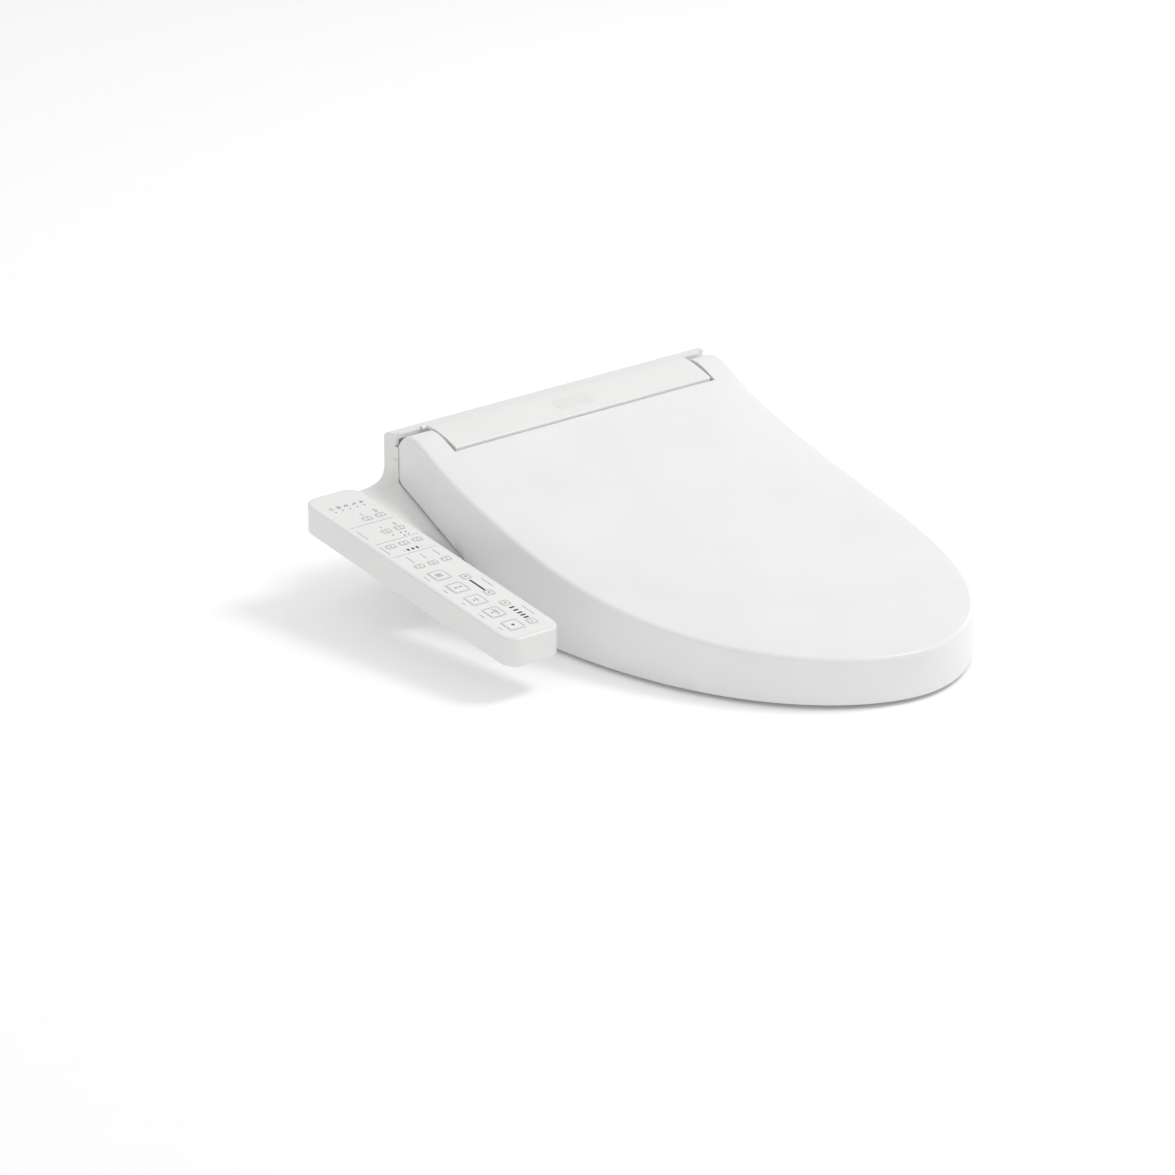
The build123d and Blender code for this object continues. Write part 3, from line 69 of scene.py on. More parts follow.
def add(material, kind, inputs=None, **settings):
    """Adds one node with its settings, and sets or links its inputs."""
    made = material.node_tree.nodes.new(kind)
    for key, value in settings.items():
        setattr(made, key, value)
    for key, value in (inputs or {}).items():
        if isinstance(value, bpy.types.NodeSocket):
            material.node_tree.links.new(value, made.inputs[key])
        else:
            made.inputs[key].default_value = value
    return made


FLOW_MM = 85
HAZE_MM = 22


def moulded(name, colour, shade, roughness, grain_mm, relief_mm, ior=1.49, coat=0.0):
    """Injection-moulded plastic: faint flow shading, uneven gloss and a fine tool texture."""
    material = bpy.data.materials.new(name)
    material.use_nodes = True
    material.node_tree.nodes.clear()
    place = add(material, "ShaderNodeTexCoord").outputs["Object"]
    flow = add(material, "ShaderNodeTexNoise", {"Vector": place, "Scale": 1000 / FLOW_MM, "Detail": 2.0})
    tint = add(material, "ShaderNodeValToRGB", {"Fac": flow.outputs["Fac"]})
    tint.color_ramp.elements[0].position = 0.3
    tint.color_ramp.elements[0].color = linear(shade)
    tint.color_ramp.elements[1].position = 0.7
    tint.color_ramp.elements[1].color = linear(colour)
    haze = add(material, "ShaderNodeTexNoise", {"Vector": place, "Scale": 1000 / HAZE_MM, "Detail": 3.0})
    gloss = add(
        material,
        "ShaderNodeMapRange",
        {"Value": haze.outputs["Fac"], "To Min": roughness * 0.88, "To Max": roughness * 1.12},
    )
    grain = add(material, "ShaderNodeTexNoise", {"Vector": place, "Scale": 1000 / grain_mm, "Detail": 2.0})
    bump = add(
        material,
        "ShaderNodeBump",
        {"Height": grain.outputs["Fac"], "Strength": 1.0, "Distance": relief_mm / 1000},
    )
    shader = add(
        material,
        "ShaderNodeBsdfPrincipled",
        {
            "Base Color": tint.outputs["Color"],
            "Roughness": gloss.outputs["Result"],
            "Normal": bump.outputs["Normal"],
            "IOR": ior,
            "Coat Weight": coat,
            "Coat Roughness": 0.1,
        },
    )
    add(material, "ShaderNodeOutputMaterial", {"Surface": shader.outputs["BSDF"]})
    return material


def finish_nodes(material, *names):
    """Gives CAD nodes their real finish."""
    for name in names:
        nodes[name].data.materials.clear()
        nodes[name].data.materials.append(material)


nylon = moulded("glass_filled_nylon", "#D2D2CF", "#CBCBC8", 0.5, 0.9, 0.02, ior=1.53)
finish_nodes(nylon, "base_plate")

# ---- water, dryer and wand inside the case -------------------------------
# Natural polypropylene mouldings, a green circuit board and plated steel
# motors. Only the mouth, the flap and the inlet can be seen from outside.

natural_polypropylene = moulded("natural_polypropylene", "#DADAD4", "#D0D0CA", 0.42, 1.4, 0.02)
finish_nodes(natural_polypropylene, "blower_housing", "blower_fan", "dryer_duct")
finish_nodes(natural_polypropylene, "water_tank", "wand_guide", "wand_pinion")

wand_plastic = moulded("antibacterial_wand_plastic", "#ECECEA", "#E6E6E4", 0.22, 2.2, 0.008)
finish_nodes(wand_plastic, "wand", "wand_tip")

trim = moulded("gloss_abs_trim", "#E9E9E7", "#E3E3E1", 0.26, 2.0, 0.01, ior=1.53)
finish_nodes(trim, "dryer_flap", "drain_plug", "deodorizer_filter", "release_button")

grey_rubber = moulded("grey_silicone_rubber", "#C3C3C0", "#B9B9B6", 0.62, 0.7, 0.03, ior=1.41)
finish_nodes(grey_rubber, "cord_gland", "seat_bumpers", "lid_bumpers")


SCRATCH_DEPTH = 0.000008


def metal(name, colour, shade, roughness, scratch_mm, stretch):
    """Plated or drawn metal: fine lines that break up its gloss."""
    material = bpy.data.materials.new(name)
    material.use_nodes = True
    material.node_tree.nodes.clear()
    place = add(material, "ShaderNodeTexCoord").outputs["Object"]
    lie = add(material, "ShaderNodeMapping", {"Vector": place, "Scale": stretch})
    lines = add(
        material,
        "ShaderNodeTexNoise",
        {"Vector": lie.outputs["Vector"], "Scale": 1000 / scratch_mm, "Detail": 3.0},
    )
    tint = add(material, "ShaderNodeValToRGB", {"Fac": lines.outputs["Fac"]})
    tint.color_ramp.elements[0].position = 0.35
    tint.color_ramp.elements[0].color = linear(shade)
    tint.color_ramp.elements[1].position = 0.65
    tint.color_ramp.elements[1].color = linear(colour)
    gloss = add(
        material,
        "ShaderNodeMapRange",
        {"Value": lines.outputs["Fac"], "To Min": roughness * 0.8, "To Max": roughness * 1.25},
    )
    bump = add(
        material,
        "ShaderNodeBump",
        {"Height": lines.outputs["Fac"], "Strength": 1.0, "Distance": SCRATCH_DEPTH},
    )
    shader = add(
        material,
        "ShaderNodeBsdfPrincipled",
        {
            "Base Color": tint.outputs["Color"],
            "Metallic": 1.0,
            "Roughness": gloss.outputs["Result"],
            "Normal": bump.outputs["Normal"],
        },
    )
    add(material, "ShaderNodeOutputMaterial", {"Surface": shader.outputs["BSDF"]})
    return material


turned_steel = metal("turned_stainless_steel", "#C9C9C7", "#B8B8B6", 0.24, 0.8, (0.05, 1.0, 1.0))
finish_nodes(turned_steel, "seat_hinge_shaft", "lid_hinge_shaft", "arm_screws", "tank_heater")
zinc_plate = metal("zinc_plated_steel", "#B4B6B8", "#A4A6A9", 0.36, 1.2, (1.0, 1.0, 1.0))
finish_nodes(zinc_plate, "wand_motor", "blower_motor", "solenoid_valve")
nickel_brass = metal("nickel_plated_brass", "#CFCBC2", "#C2BEB4", 0.18, 0.9, (1.0, 1.0, 0.1))
finish_nodes(nickel_brass, "inlet_fitting")
nichrome = metal("nichrome_strip", "#8F8A84", "#7C7771", 0.4, 0.6, (0.1, 1.0, 1.0))
finish_nodes(nichrome, "dryer_heater")
damper_black = moulded("black_acetal", "#2E2E30", "#262628", 0.35, 1.1, 0.01, ior=1.48)
finish_nodes(damper_black, "hinge_dampers")
board_resist = moulded("green_solder_resist", "#1F6B45", "#1A5C3B", 0.3, 2.6, 0.02, ior=1.55)
finish_nodes(board_resist, "control_board", "power_board")

# ---- case ----------------------------------------------------------------
# High-gloss ABS, moulded in a polished tool and butted together by snaps, so
# the only lines are the narrow gaps between the shells.

gloss_abs = moulded("high_gloss_abs", "#F1F1F0", "#EEEEED", 0.2, 3.0, 0.006, ior=1.53)
finish_nodes(gloss_abs, "upper_case", "top_cover", "lower_case", "front_panel", "arm_cover", "arm_lower_case")

label_film = moulded("satin_label_film", "#ECECEA", "#E8E8E6", 0.45, 0.8, 0.01)
finish_nodes(label_film, "label_plate")

# ---- control arm ---------------------------------------------------------
# A satin polycarbonate film, printed on its face, lies in a recess of the
# arm; the keys are separate caps flush with it, so each has a hairline gap.

satin_film = moulded("satin_polycarbonate_film", "#F4F4F3", "#F1F1F0", 0.42, 0.6, 0.006, ior=1.58)
key_names = sorted(name for name in nodes if name.startswith("key_"))
finish_nodes(satin_film, "panel_overlay", *key_names)
smoked_lens = moulded("smoked_acrylic_lens", "#8E928E", "#868A86", 0.12, 2.0, 0.004)
finish_nodes(smoked_lens, "indicator_lenses")

PANEL_RISE = 96.0
PANEL_SLOPE = 0.147
PRINT_THICKNESS = 0.06
PRINT_SINK = 0.05
PRINT_LINE = 0.38
panel_up = Vector((0, -PANEL_SLOPE, 1)).normalized()
printed_ink = moulded("screen_print_ink", "#6E6E6E", "#676767", 0.5, 0.4, 0.004)
dark_ink = moulded("dark_screen_print_ink", "#404040", "#3A3A3A", 0.5, 0.4, 0.004)


def on_panel(x, y, lift):
    """A point of the arm's sloping face, in metres, from millimetres."""
    point = Vector((x, y, PANEL_RISE + PANEL_SLOPE * y)) + panel_up * lift
    return point / 1000


def ink_piece(name, build, ink, body):
    """Turns finished print geometry into a piece that rides on its body."""
    mesh = bpy.data.meshes.new(name)
    build.to_mesh(mesh)
    build.free()
    mesh.materials.append(ink)
    piece = bpy.data.objects.new(name, mesh)
    bpy.context.scene.collection.objects.link(piece)
    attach(piece, body)


def print_shapes(name, outlines, lift, ink, body):
    """Flat printed shapes as thin closed prisms: each outline is a list of (x, y) in millimetres."""
    build = bmesh.new()
    for outline in outlines:
        if sum(a[0] * b[1] - b[0] * a[1] for a, b in zip(outline, outline[1:] + outline[:1])) < 0:
            outline = outline[::-1]
        low = [build.verts.new(on_panel(x, y, lift - PRINT_SINK)) for x, y in outline]
        high = [build.verts.new(on_panel(x, y, lift + PRINT_THICKNESS)) for x, y in outline]
        build.faces.new(low[::-1])
        build.faces.new(high)
        for i in range(len(outline)):
            j = (i + 1) % len(outline)
            build.faces.new((low[i], low[j], high[j], high[i]))
    ink_piece(name, build, ink, body)


def bar(x0, y0, x1, y1, width):
    """A straight stroke between two points, as an outline."""
    along = Vector((x1 - x0, y1 - y0)).normalized() * width / 2
    across = Vector((-along.y, along.x))
    return [
        (x0 + across.x, y0 + across.y),
        (x0 - across.x, y0 - across.y),
        (x1 - across.x, y1 - across.y),
        (x1 + across.x, y1 + across.y),
    ]


def disc(x, y, radius, sides=20):
    """A round dot."""
    angles = [2 * math.pi * i / sides for i in range(sides)]
    return [(x + radius * math.cos(a), y + radius * math.sin(a)) for a in angles]


def strokes(points, width, closed=False):
    """A bent line as a row of straight strokes."""
    pairs = list(zip(points, points[1:] + (points[:1] if closed else [])))
    return [bar(*a, *b, width) for a, b in (pairs if closed else pairs[: len(points) - 1])]


def rounded(x, y, w, h, radius, step=6):
    """Points round a rectangle with rounded corners."""
    points = []
    for across, up, start in ((1, 1, 0), (-1, 1, 90), (-1, -1, 180), (1, -1, 270)):
        centre_x = x + across * (w / 2 - radius)
        centre_y = y + up * (h / 2 - radius)
        for i in range(step + 1):
            a = math.radians(start + 90 * i / step)
            points.append((centre_x + radius * math.cos(a), centre_y + radius * math.sin(a)))
    return points


def print_rings(name, rings, lift, ink, body):
    """Closed printed lines, each a flat band between two outlines with the same number of points."""
    build = bmesh.new()
    for outer, inner in rings:
        corners = [
            (outer, PRINT_THICKNESS),
            (inner, PRINT_THICKNESS),
            (inner, -PRINT_SINK),
            (outer, -PRINT_SINK),
        ]
        loops = []
        for outline, height in corners:
            loops.append([build.verts.new(on_panel(x, y, lift + height)) for x, y in outline])
        for a, b in zip(loops, loops[1:] + loops[:1]):
            for i in range(len(a)):
                j = (i + 1) % len(a)
                build.faces.new((a[i], a[j], b[j], b[i]))
    bmesh.ops.recalc_face_normals(build, faces=build.faces)
    ink_piece(name, build, ink, body)


def key_ring(x, y, w, h, radius):
    """The printed line round a key."""
    inner = rounded(x, y, w - 2 * PRINT_LINE, h - 2 * PRINT_LINE, radius - PRINT_LINE)
    return [(rounded(x, y, w, h, radius), inner)]


DASH_HEIGHT = 0.55
DASH_GAP = 0.45
DASH_LEAST = 0.9
DASH_SPREAD = 1.3
DASH_END = 0.8
ROW_PITCH = 1.7
DRAW_RANGE = 2147483648


def text_lines(x, y, length, rows, seed):
    """A stand-in for a legend: short dashes of seeded lengths, in rows that run along the arm."""
    marks = []
    state = seed
    for row in range(rows):
        at = y - length / 2
        end = y + length / 2
        while at < end - DASH_END:
            state = (state * 1103515245 + 12345) % DRAW_RANGE
            dash = DASH_LEAST + DASH_SPREAD * (state / DRAW_RANGE)
            dash = min(dash, end - at)
            marks.append(bar(x + row * ROW_PITCH, at, x + row * ROW_PITCH, at + dash, DASH_HEIGHT))
            at += dash + DASH_GAP
    return marks


KEY_LIFT = 0.3
BIG_X = -270.0
BIG_RING = 15.6
BIG_RING_CORNER = 2.6
BIG_FIRST = -129.0
BIG_PITCH = 25.9


def arc_points(x, y, radius, start, end, count=8):
    """Points along an arc."""
    return [
        (
            x + radius * math.cos(math.radians(start + (end - start) * i / count)),
            y + radius * math.sin(math.radians(start + (end - start) * i / count)),
        )
        for i in range(count + 1)
    ]


FINE_LINE = 0.45
THIN_LINE = 0.5
HEAVY_LINE = 0.55


def wave_mark(x, y):
    """Three rising wavy lines over a bar: warm air."""
    foot = x - 3.2
    marks = strokes([(foot, y + 3), (foot, y - 3)], THIN_LINE)
    for k in (-2, 0, 2):
        line = [(x - 2.2 + 0.45 * i, y + k + 0.55 * math.sin(i * 1.3)) for i in range(12)]
        marks += strokes(line, THIN_LINE)
    return marks


def spray_mark(x, y, arcs):
    """A nozzle with arcs of water that fan out above it; a lone arc carries a drop."""
    foot = x - 3.4
    marks = strokes([(foot, y - 1.4), (x - 1.6, y), (foot, y + 1.4)], HEAVY_LINE)
    for k in range(arcs):
        spread = 26 + 14 * k
        marks += strokes(arc_points(x - 3.0, y, 3.2 + 1.6 * k, -spread, spread), FINE_LINE)
    return marks + ([disc(x + 3.3, y, 0.9)] if arcs == 1 else [])


def big_mark(name, x, y):
    """The symbol on a large key."""
    if name == "key_dryer":
        return wave_mark(x, y)
    if name == "key_stop":
        return [disc(x, y, 1.5)]
    return spray_mark(x, y, SPRAY_ARCS[name])


SPRAY_ARCS = {"key_front_wash": 1, "key_soft_wash": 2, "key_rear_wash": 3}
big_keys = ["key_dryer", *SPRAY_ARCS, "key_stop"]
for i, name in enumerate(big_keys):
    y = BIG_FIRST - i * BIG_PITCH
    ring = key_ring(BIG_X, y, BIG_RING, BIG_RING, BIG_RING_CORNER)
    print_rings("ring_" + name, ring, KEY_LIFT, printed_ink, name)
    print_shapes("mark_" + name, big_mark(name, BIG_X, y), KEY_LIFT, dark_ink, name)

ADJUST_X = -250.8
ADJUST_RING = 7.7
ADJUST_RING_CORNER = 1.8
DOT_RADIUS = 1.0
SIGN_REACH = 1.5


def adjust_mark(sign, x, y):
    """A dot, or the strokes of a plus or a minus."""
    if sign == "dot":
        return [disc(x, y, DOT_RADIUS)]
    along_arm = bar(x, y - SIGN_REACH, x, y + SIGN_REACH, THIN_LINE)
    if sign == "minus":
        return [along_arm]
    return [bar(x - SIGN_REACH, y, x + SIGN_REACH, y, THIN_LINE), along_arm]


adjust_keys = [
    ("key_position_back", 0.5, "dot"),
    ("key_position_front", 1.8, "dot"),
    ("key_pressure_plus", 2.65, "plus"),
    ("key_pressure_minus", 4.1, "minus"),
]
for name, pitches, sign in adjust_keys:
    y = BIG_FIRST - pitches * BIG_PITCH
    ring = key_ring(ADJUST_X, y, ADJUST_RING, ADJUST_RING, ADJUST_RING_CORNER)
    print_rings("ring_" + name, ring, KEY_LIFT, printed_ink, name)
    print_shapes("mark_" + name, adjust_mark(sign, ADJUST_X, y), KEY_LIFT, dark_ink, name)

SETTING_X = -259.95
SETTING_STEP = 15.0
SETTING_RING = (8.7, 5.7)
SETTING_RING_CORNER = 1.6
SETTING_LEGEND = 3.6
setting_rows = [(-11.0, (0, 1)), (-39.5, (0, 1)), (-65.0, (-1, 0, 1)), (-107.0, (-1, 0, 1))]
number = 1
for y, columns in setting_rows:
    for column in columns:
        x = SETTING_X + column * SETTING_STEP
        name = f"key_setting_{number}"
        ring = key_ring(x, y, *SETTING_RING, SETTING_RING_CORNER)
        print_rings("ring_" + name, ring, KEY_LIFT, printed_ink, name)
        mark = text_lines(x, y, SETTING_LEGEND, 1, number)
        print_shapes("mark_" + name, mark, KEY_LIFT, dark_ink, name)
        number += 1

legends = []
for i, size in enumerate((9.0, 7.0, 5.5, 7.5, 6.0)):
    legends += text_lines(-284.2, BIG_FIRST - i * BIG_PITCH, size, 1, 20 + i)
legends += text_lines(-240.6, -159.0, 17.0, 1, 31)
legends += text_lines(-240.6, -217.0, 18.0, 1, 32)
legends += text_lines(-245.0, -1.5, 7.0, 2, 33)[:6]
legend_rows = [
    (-260.0, -2.0, 6.0, 1, 34),
    (-245.0, -30.5, 5.0, 2, 35),
    (-260.0, -30.5, 4.0, 1, 36),
    (-284.5, -36.0, 17.0, 1, 37),
    (-284.5, -68.0, 17.0, 1, 38),
    (-245.0, -92.0, 12.0, 1, 39),
    (-260.0, -93.0, 9.0, 1, 40),
    (-275.0, -93.0, 12.0, 1, 41),
]
for row in legend_rows:
    legends += text_lines(*row)
print_shapes("legend_print", legends, 0.0, dark_ink, "main_unit")

SEPARATOR_LINE = 0.3
separators = [bar(-286, y, -237, y, SEPARATOR_LINE) for y in (-20.0, -56.0, -82.7)]
print_shapes("separator_print", separators, 0.0, printed_ink, "main_unit")

LEVEL_LINE = 2.2
LEVEL_X = -251.5
STEP_SPAN = (-253.2, -247.8)
ROW_Y = -77.0
level_marks = [bar(LEVEL_X, -148.7, LEVEL_X, -170.6, LEVEL_LINE)]
for y in (-207.0, -212.6, -217.9, -222.5, -227.1):
    level_marks.append(bar(STEP_SPAN[0], y, STEP_SPAN[1], y, LEVEL_LINE))
level_marks += [bar(x - 1.2, ROW_Y, x + 1.2, ROW_Y, 3.6) for x in (-264.6, -259.3, -254.3)]
print_shapes("level_print", level_marks, 0.0, dark_ink, "main_unit")

SMALL_DOT = 0.9
TINY_DOT = 0.6
dot_places = ((-259, -48), (-250, -47.5), (-245, -48), (-250, -53), (-245, -52.5))
dots = [disc(x, y, SMALL_DOT) for x, y in dot_places]
dots += [disc(x, ROW_Y, TINY_DOT) for x in (-269.0, -249.5)]
print_shapes("dot_print", dots, 0.0, printed_ink, "main_unit")

ICON_Y = 18.5
swirl, clean, tray, lid_sign, peak = (-278.0, -270.0, -262.0, -253.5, -245.0)
icons = strokes(arc_points(swirl, ICON_Y, 2.0, 30, 330, 14), FINE_LINE)
icons += strokes(rounded(clean, ICON_Y, 3.6, 3.8, 1.5, 4), FINE_LINE, closed=True)
icons += [disc(clean, ICON_Y, 0.7)]
tray_line = [(tray - 2, 17.4), (tray + 2, 17.4), (tray + 1.2, 19.6), (tray - 1.2, 19.6)]
icons += strokes(tray_line, 0.6, closed=True)
sign_line = [(lid_sign - 2, 17), (lid_sign + 1.6, 19.6), (lid_sign + 1.9, 17)]
icons += strokes(sign_line, THIN_LINE, closed=True)
icons += strokes([(peak - 1.8, 17), (peak, 20), (peak + 1.8, 17)], THIN_LINE, closed=True)
icons += [disc(peak, 18, 0.6)]
print_shapes("icon_print", icons, 0.0, dark_ink, "main_unit")

# ---- bridge plug ---------------------------------------------------------
# The concave bridge between case and arm is a hollow moulding, so its open end
# behind the arm is closed by a bevelled plug of the same ABS, pressed in.

BRIDGE_DROP = 9.0
BRIDGE_SKIN = 3.0
BRIDGE_BORE = 18.0
LEVEL_FROM = 44.0
PLUG_FRONT = 30.0
PLUG_PLAY = 0.15
PLUG_DEPTH = 2.6
PLUG_EDGE = 0.35
PLUG_PROUD = 0.1


def plug_mesh():
    """A bevelled plate that follows the bridge's bore."""
    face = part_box("arm_cover")[1][0] * 1000 - PLUG_PROUD
    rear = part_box("upper_case")[1][1] * 1000 - BRIDGE_SKIN - PLUG_PLAY
    line = []
    for y in (PLUG_FRONT, LEVEL_FROM, rear):
        roof = PANEL_RISE + PANEL_SLOPE * min(y, LEVEL_FROM) - BRIDGE_DROP - BRIDGE_SKIN
        line.append((y, roof - BRIDGE_BORE + PLUG_PLAY, roof - PLUG_PLAY))
    build = bmesh.new()
    outline = [(y, low) for y, low, high in line] + [(y, high) for y, low, high in reversed(line)]
    rows = []
    for x in (face, face + PLUG_DEPTH):
        rows.append([build.verts.new((x / 1000, y / 1000, z / 1000)) for y, z in outline])
    build.faces.new(rows[0])
    build.faces.new(rows[1][::-1])
    for i in range(len(outline)):
        j = (i + 1) % len(outline)
        build.faces.new((rows[0][j], rows[0][i], rows[1][i], rows[1][j]))
    bmesh.ops.recalc_face_normals(build, faces=build.faces)
    bmesh.ops.bevel(
        build,
        geom=build.edges[:],
        offset=PLUG_EDGE / 1000,
        segments=2,
        affect="EDGES",
        clamp_overlap=True,
    )
    mesh = bpy.data.meshes.new("bridge_plug")
    build.to_mesh(mesh)
    build.free()
    return mesh


plug = bpy.data.objects.new("bridge_plug", plug_mesh())
bpy.context.scene.collection.objects.link(plug)
plug.data.materials.append(gloss_abs)
plug.data.shade_smooth()
plug.data.set_sharp_from_angle(angle=math.radians(35))
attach(plug, "main_unit")

# ---- seat ring -----------------------------------------------------------
# Two welded polypropylene shells with a satin-smooth sitting face; the foil
# heater is glued under the upper one and never shows.

seat_plastic = moulded("satin_polypropylene_seat", "#F0F0EE", "#ECECEA", 0.3, 1.8, 0.01)
finish_nodes(seat_plastic, "seat_top", "seat_bottom")
foil = metal("aluminium_heater_foil", "#D5D6D8", "#C6C7CA", 0.3, 1.5, (1.0, 0.2, 1.0))
finish_nodes(foil, "seat_heater")

# ---- lid -----------------------------------------------------------------
# One polypropylene moulding, about 3.5 mm thick: a crowned, ski-shaped top
# rolled over into a plain skirt, with two horns that turn on the hinge line.

lid_plastic = moulded("satin_polypropylene_lid", "#F2F3F2", "#EEEFEE", 0.33, 1.6, 0.008)
HALF = 186.0
TIP = -478.0
STRAIGHT = -143.0
SIDE_POWER = 1.891
FRONT_POWER = 2.368
REAR_RISE = 155.6
FRONT_RISE = 49.0
CURVE_START = 32.0
SAG = 30.2
SKEW = 3.3
BLEND = 1.5
HINGE = (19.0, 124.0)
HORN = 22.6
CUT = 158.0
CUT_Y = -11.0
ROLL = 4.0
END_ROLL = 0.8
HORN_STEPS = 22
WALL = 3.5
SEAM = [(-12.0, 22.6), (-36.0, 26.6), (-51.0, 29.2), (-66.0, 30.6), (-84.7, 32.5)]
SEAM_SLOPE = math.tan(math.radians(27.0))
NOSE = -98.0
NOSE_STEP = 5.0
BOTTOM = 4.0
CROWN_REAR = 3.4
CROWN_FRONT = 2.2
CROWN_POWER = 7.0
CROWN_FADE = (10.0, 45.0)
SEAM_LEAD = 0.8
ROLL_GROWN = 0.55


def lid_rise(y):
    """Height of the lid's middle line."""
    t = (CURVE_START - y) / (CURVE_START - TIP)
    z = REAR_RISE - (REAR_RISE - FRONT_RISE) * t
    z = z - SAG * 4 * t * (1 - t) - SKEW * 8 * t * (1 - t) * (1 - 2 * t)
    return z - BLEND * math.log(1 + math.exp((z - HINGE[1] - HORN) / BLEND))


def crown(y):
    """How far the rim lies below the middle line; none over the horns."""
    t = min(max((CURVE_START - y) / (CURVE_START - TIP), 0.0), 1.0)
    fade = min(max((CROWN_FADE[0] - y) / CROWN_FADE[1], 0.0), 1.0)
    return (CROWN_REAR + (CROWN_FRONT - CROWN_REAR) * t) * fade * fade * (3 - 2 * fade)


def polar(angle, radius):
    """A (y, z) point round the hinge line."""
    a = math.radians(angle)
    return HINGE[0] + radius * math.cos(a), HINGE[1] + radius * math.sin(a)


def seam_foot(y):
    """Height of the skirt's lower edge along the sides."""
    y1, z1 = polar(*SEAM[-1])
    if y < NOSE - NOSE_STEP:
        return BOTTOM
    nose_z = z1 - (y1 - NOSE) * SEAM_SLOPE
    if y < NOSE:
        return BOTTOM + (nose_z - BOTTOM) * (y - NOSE + NOSE_STEP) / NOSE_STEP
    return z1 - (y1 - y) * SEAM_SLOPE


def along(path, count):
    """Points spaced evenly along a bent path."""
    lengths = [0.0]
    for a, b in zip(path, path[1:]):
        lengths.append(lengths[-1] + math.dist(a, b))
    spaced = []
    for i in range(count + 1):
        want = lengths[-1] * i / count
        k = max(j for j in range(len(lengths)) if lengths[j] <= want + 1e-9)
        k = min(k, len(path) - 2)
        part = (want - lengths[k]) / (lengths[k + 1] - lengths[k])
        spaced.append(tuple(p + (q - p) * part for p, q in zip(path[k], path[k + 1])))
    return spaced


def horn_stations():
    """Stations round the horn, from its lower end up: top, outward normal, roll, foot."""
    bend = [polar(SEAM[0][0], SEAM[0][1] - END_ROLL)]
    for (a0, r0), (a1, r1) in zip(SEAM, SEAM[1:]):
        bend += [polar(a0 + (a1 - a0) * k / 4 - SEAM_LEAD, r0 + (r1 - r0) * k / 4) for k in range(4)]
    bend += [polar(*SEAM[-1]), (HINGE[0], seam_foot(HINGE[0]))]
    feet = along(bend, HORN_STEPS)
    stations = []
    for k in range(HORN_STEPS):
        angle = SEAM[0][0] + (90 - SEAM[0][0]) * k / HORN_STEPS
        grow = min(1.0, k / HORN_STEPS / ROLL_GROWN)
        roll = END_ROLL + (ROLL - END_ROLL) * grow * grow * (3 - 2 * grow)
        out = Vector(polar(angle, 1.0)) - Vector(HINGE)
        stations.append((polar(angle, HORN), out, roll, feet[k]))
    return stations


def side_stations():
    """Stations down one side: top, outward normal, roll, foot, the points as (y, z)."""
    marks = [HINGE[0] + (CUT_Y - HINGE[0]) * k / 10 for k in range(11)]
    marks += [CUT_Y + (NOSE - CUT_Y) * k / 14 for k in range(1, 15)]
    step = NOSE - NOSE_STEP
    marks += [NOSE - NOSE_STEP / 2, step] + [step + (STRAIGHT - step) * k / 6 for k in range(1, 7)]
    straight = [((y, lid_rise(y)), Vector((0, 1)), ROLL, (y, seam_foot(y))) for y in marks]
    return horn_stations() + straight


SIDE_COLUMNS = [0, 12, 24, 36, 48, 60, 72, 84, 96, 107, 117, 126, 134, 141, 147, 152.5]
SIDE_COLUMNS += [CUT, 163, 168, 173, HALF - ROLL]
FAN = 56
ROLL_STEPS = 8
WALL_STEPS = 4


def roll_profile(tilt, radius):
    """The rolled rim: (inset from the wall, drop from the rim's start)."""
    r = radius / (1 - math.sin(tilt))
    points = []
    for k in range(1, ROLL_STEPS + 1):
        a = tilt + (math.pi / 2 - tilt) * k / ROLL_STEPS
        points.append((radius - r * (math.sin(a) - math.sin(tilt)), r * (math.cos(tilt) - math.cos(a))))
    return points


def outline_point(t):
    """A point of the lid's front outline and its outward normal; t runs from 0 to pi."""
    def at(angle):
        c = math.cos(angle)
        return (
            math.copysign(HALF * abs(c) ** (2 / SIDE_POWER), c),
            STRAIGHT - (STRAIGHT - TIP) * abs(math.sin(angle)) ** (2 / FRONT_POWER),
        )
    x, y = at(t)
    if t < 1e-6 or t > math.pi - 1e-6:
        return Vector((x, y)), Vector((math.copysign(1, x), 0))
    step = min(1e-3, t / 2, (math.pi - t) / 2)
    a, b = at(t - step), at(t + step)
    run = Vector((b[0] - a[0], b[1] - a[1])).normalized()
    return Vector((x, y)), Vector((-run.y, run.x)) * (1 if (-run.y * x + run.x * (y - STRAIGHT)) > 0 else -1)


